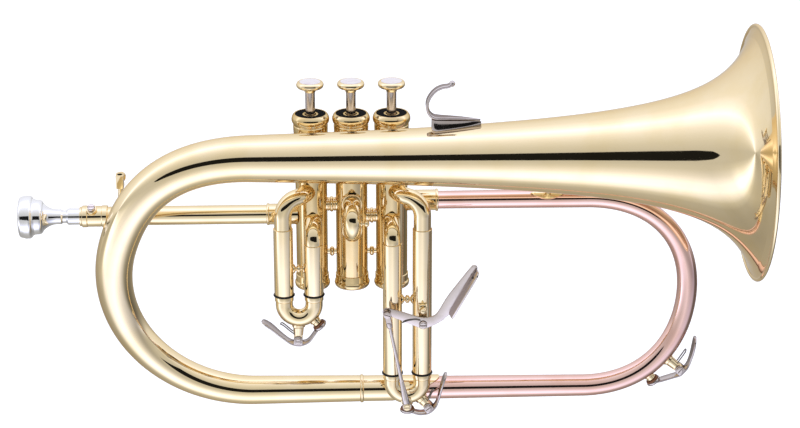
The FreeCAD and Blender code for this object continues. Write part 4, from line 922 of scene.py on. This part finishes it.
def make_finger_hook():
    """A bent strap that runs out along its plate on top of the bell, with a ball at its tip."""
    strap = [V((x, BELL_Y, z)) for x, z in (
        (75.4, 61.6), (70.0, 62.3), (64.0, 62.9), (58.0, 63.3), (52.0, 63.6), (47.8, 64.3), (45.2, 66.8),
        (44.2, 70.6), (44.6, 74.2), (46.6, 77.9), (49.6, 80.9), (53.2, 82.5), (56.6, 83.0), (58.7, 84.4))]
    line = curve_points(strap, steps=8)
    halves = []
    for k in range(len(line)):
        share = k / (len(line) - 1)
        halves.append(3.6 * min(1.0, 0.12 + share * 2.6) * (1 - 0.3 * max(share - 0.5, 0) * 2))
    ball = lathe(line[-1] - V((1.2, 0, 1.4)), V((0.7, 0, 0.7)), [
        (0, 0), ((0.5, 1.35), (1.9, 1.75)), ((3.1, 1.2), (3.5, 0))], count=32)
    # Strap, ball and plate wear the darker copy of nickel silver, which is painted shade.
    make_piece("finger_hook_strap", [ribbon(line, halves, 1.7, V((0, 1, 0))), ball, hook_plate()],
               "lever_nickel_painted_shade", "horn", "finger_hook", slot="nickel_silver")


# CAD nodes that show as they are

def finish_cad_nodes():
    slots = {part["node"]: part["material_slot"] for part in frame["record"]["subparts"]}
    for name, node in frame["nodes"].items():
        node.data.materials.clear()
        node.data.materials.append(FINISHES[slots[name]])


# Studio

# Light met by a ray, by its turn about the horn's length: 0 is the front horizon, 90 straight up.
STUDIO = [(-180, 0.85), (-165, 0.60), (-131, 0.46), (-105, 0.48), (-87, 0.54), (-76, 0.75), (-68, 1.10),
          (-55, 1.55), (-42, 1.50), (-25, 1.02), (-11, 0.75), (1, 0.62), (26, 0.62), (43, 0.73), (57, 0.86),
          (71, 1.03), (80, 1.22), (95, 1.58), (107, 1.22), (127, 1.00), (150, 0.92), (180, 0.85)]
# Share of the low light that is left, by the ray's sideways lean.
LOW_SIDES = [(-1.0, 1.0), (-0.97, 1.1), (-0.88, 1.15), (-0.8, 0.9), (-0.6, 0.8), (-0.35, 0.9), (-0.1, 1.0),
             (0.05, 1.0), (0.25, 0.8), (0.5, 0.60), (0.75, 0.42), (0.9, 0.30), (1.0, 0.26)]
# The dark slit between the tent's two halves: its upper and lower edge by sideways lean, in degrees.
SLIT_TOP = [(-1.0, 15.0), (-0.72, 15.0), (-0.69, 20.0), (-0.64, 24.0), (-0.5, 26.0), (0.0, 27.0), (0.8, 27.0),
            (1.0, 27.0)]
SLIT_FOOT = [(-1.0, 16.0), (-0.72, 16.0), (-0.69, 11.0), (-0.64, 7.0), (-0.5, 4.5), (0.0, 3.0), (0.8, -4.0),
             (1.0, -4.0)]
SLIT_END = 0.74
SLIT_DARK = 0.02
BRIGHTEST = 2.0


def tent_colour(light):
    """Bright cloth is a little cool and shaded cloth warm."""
    cool = min(max((light - 0.75) / 0.6, 0), 1)
    warm = min(max((0.62 - light) / 0.2, 0), 1)
    return light, light * (1 + 0.03 * cool - 0.04 * warm), light * (1 + 0.24 * cool - 0.12 * warm)


def make_studio():
    """A white tent of light with one dark slit in front, which only reflections show."""
    world = bpy.data.worlds.new("studio")
    bpy.context.scene.world = world
    world.use_nodes = True
    tree = world.node_tree
    tree.nodes.clear()

    def node(kind, **settings):
        made = tree.nodes.new(kind)
        for name, value in settings.items():
            setattr(made, name, value)
        return made

    def calculate(operation, *values):
        made = node("ShaderNodeMath", operation=operation)
        for index, value in enumerate(values):
            if isinstance(value, (int, float)):
                made.inputs[index].default_value = value
            else:
                tree.links.new(value, made.inputs[index])
        return made.outputs[0]

    def ramp(value, stops, low, high, colour_of):
        made = node("ShaderNodeValToRGB")
        elements = made.color_ramp.elements
        while len(elements) < len(stops):
            elements.new(0.5)
        for element, (place, level) in zip(elements, stops):
            element.position = (place - low) / (high - low)
            element.color = (*colour_of(level), 1)
        tree.links.new(calculate("DIVIDE", calculate("SUBTRACT", value, low), high - low), made.inputs["Fac"])
        return made.outputs["Color"]

    def level(value, stops, low, high, top):
        """A number by value, from (place, number) stops, none over top or under -top."""
        grey = ramp(value, stops, low, high, lambda number: ((number / top + 1) / 2,) * 3)
        return calculate("MULTIPLY", calculate("SUBTRACT", grey, 0.5), 2 * top)

    axes = node("ShaderNodeSeparateXYZ")
    tree.links.new(node("ShaderNodeTexCoord").outputs["Generated"], axes.inputs[0])
    x, y, z = axes.outputs
    roll = calculate("MULTIPLY", calculate("ARCTAN2", z, calculate("MULTIPLY", y, -1.0)), 180 / math.pi)
    light = ramp(roll, STUDIO, -180, 180, lambda number: [part / BRIGHTEST for part in tent_colour(number)])
    sides = level(x, LOW_SIDES, -1, 1, 2.0)
    low = node("ShaderNodeMapRange", interpolation_type="SMOOTHSTEP")
    for name, number in (("From Min", 0.1), ("From Max", -0.3), ("To Min", 0.0), ("To Max", 1.0)):
        low.inputs[name].default_value = number
    tree.links.new(z, low.inputs["Value"])
    share = calculate("ADD", 1.0, calculate("MULTIPLY", low.outputs[0], calculate("SUBTRACT", sides, 1.0)))
    under = calculate("SUBTRACT", level(x, SLIT_TOP, -1, 1, 90), roll)
    over = calculate("SUBTRACT", roll, level(x, SLIT_FOOT, -1, 1, 90))
    inside = calculate("MULTIPLY", calculate("SUBTRACT", SLIT_END, x), 90)
    depth = calculate("MINIMUM", calculate("MINIMUM", under, over), inside)
    slit = node("ShaderNodeMapRange", interpolation_type="SMOOTHSTEP")
    for name, number in (("From Min", 0.0), ("From Max", 1.2), ("To Min", 1.0), ("To Max", SLIT_DARK)):
        slit.inputs[name].default_value = number
    tree.links.new(depth, slit.inputs["Value"])
    strength = calculate("MULTIPLY", calculate("MULTIPLY", share, slit.outputs[0]), BRIGHTEST)
    tent = node("ShaderNodeBackground")
    tree.links.new(light, tent.inputs["Color"])
    tree.links.new(strength, tent.inputs["Strength"])
    white = node("ShaderNodeBackground")
    white.inputs["Color"].default_value = (1, 1, 1, 1)
    seen = node("ShaderNodeMixShader")
    tree.links.new(node("ShaderNodeLightPath").outputs["Is Camera Ray"], seen.inputs[0])
    tree.links.new(tent.outputs[0], seen.inputs[1])
    tree.links.new(white.outputs[0], seen.inputs[2])
    tree.links.new(seen.outputs[0], node("ShaderNodeOutputWorld").inputs["Surface"])


def make_floor():
    """A wide pale floor well under the horn; the tent stands in for it in reflections."""
    reach, height = 40.0, -0.5
    mesh = bpy.data.meshes.new("floor")
    mesh.from_pydata([(x, y, height) for x, y in ((-reach, -reach), (reach, -reach), (reach, reach),
                                                  (-reach, reach))], [], [(0, 1, 2, 3)])
    floor = bpy.data.objects.new("floor", mesh)
    bpy.context.scene.collection.objects.link(floor)
    material = bpy.data.materials.new("floor")
    material.use_nodes = True
    shader = material.node_tree.nodes["Principled BSDF"]
    shader.inputs["Base Color"].default_value = (0.86, 0.86, 0.86, 1)
    shader.inputs["Roughness"].default_value = 0.9
    shader.inputs["Emission Color"].default_value = (1, 1, 1, 1)
    shader.inputs["Emission Strength"].default_value = 0.3
    mesh.materials.append(material)
    floor.visible_glossy = False


def make_camera():
    azimuth, elevation, distance = math.radians(-2), math.radians(21), 1.455
    target = V((0.0294, 0, -0.009))
    back = V((math.sin(azimuth) * math.cos(elevation), -math.cos(azimuth) * math.cos(elevation),
              math.sin(elevation)))
    lens = bpy.data.cameras.new("camera")
    lens.lens, lens.sensor_width = 107.55, 36.0
    camera = bpy.data.objects.new("camera", lens)
    bpy.context.scene.collection.objects.link(camera)
    camera.location = target + back * distance
    camera.rotation_euler = back.to_track_quat("Z", "Y").to_euler()
    bpy.context.scene.camera = camera


make_camera()
make_studio()
make_floor()
finish_cad_nodes()
make_bell()
make_ferrules()
make_rose_branch()
for valve in (1, 2, 3):
    make_valve(valve)
for slide in (1, 3):
    make_outer_slide(slide)
make_middle_slide()
make_mouthpipe()
for key_name, key_axes in KEYS.items():
    make_key_lever(key_name, key_axes)
    make_key_spring(key_name, key_axes)
make_trigger()
make_trigger_spring()
make_finger_hook()
bpy.context.scene.view_settings.view_transform = "Standard"

bpy.context.view_layer.update()
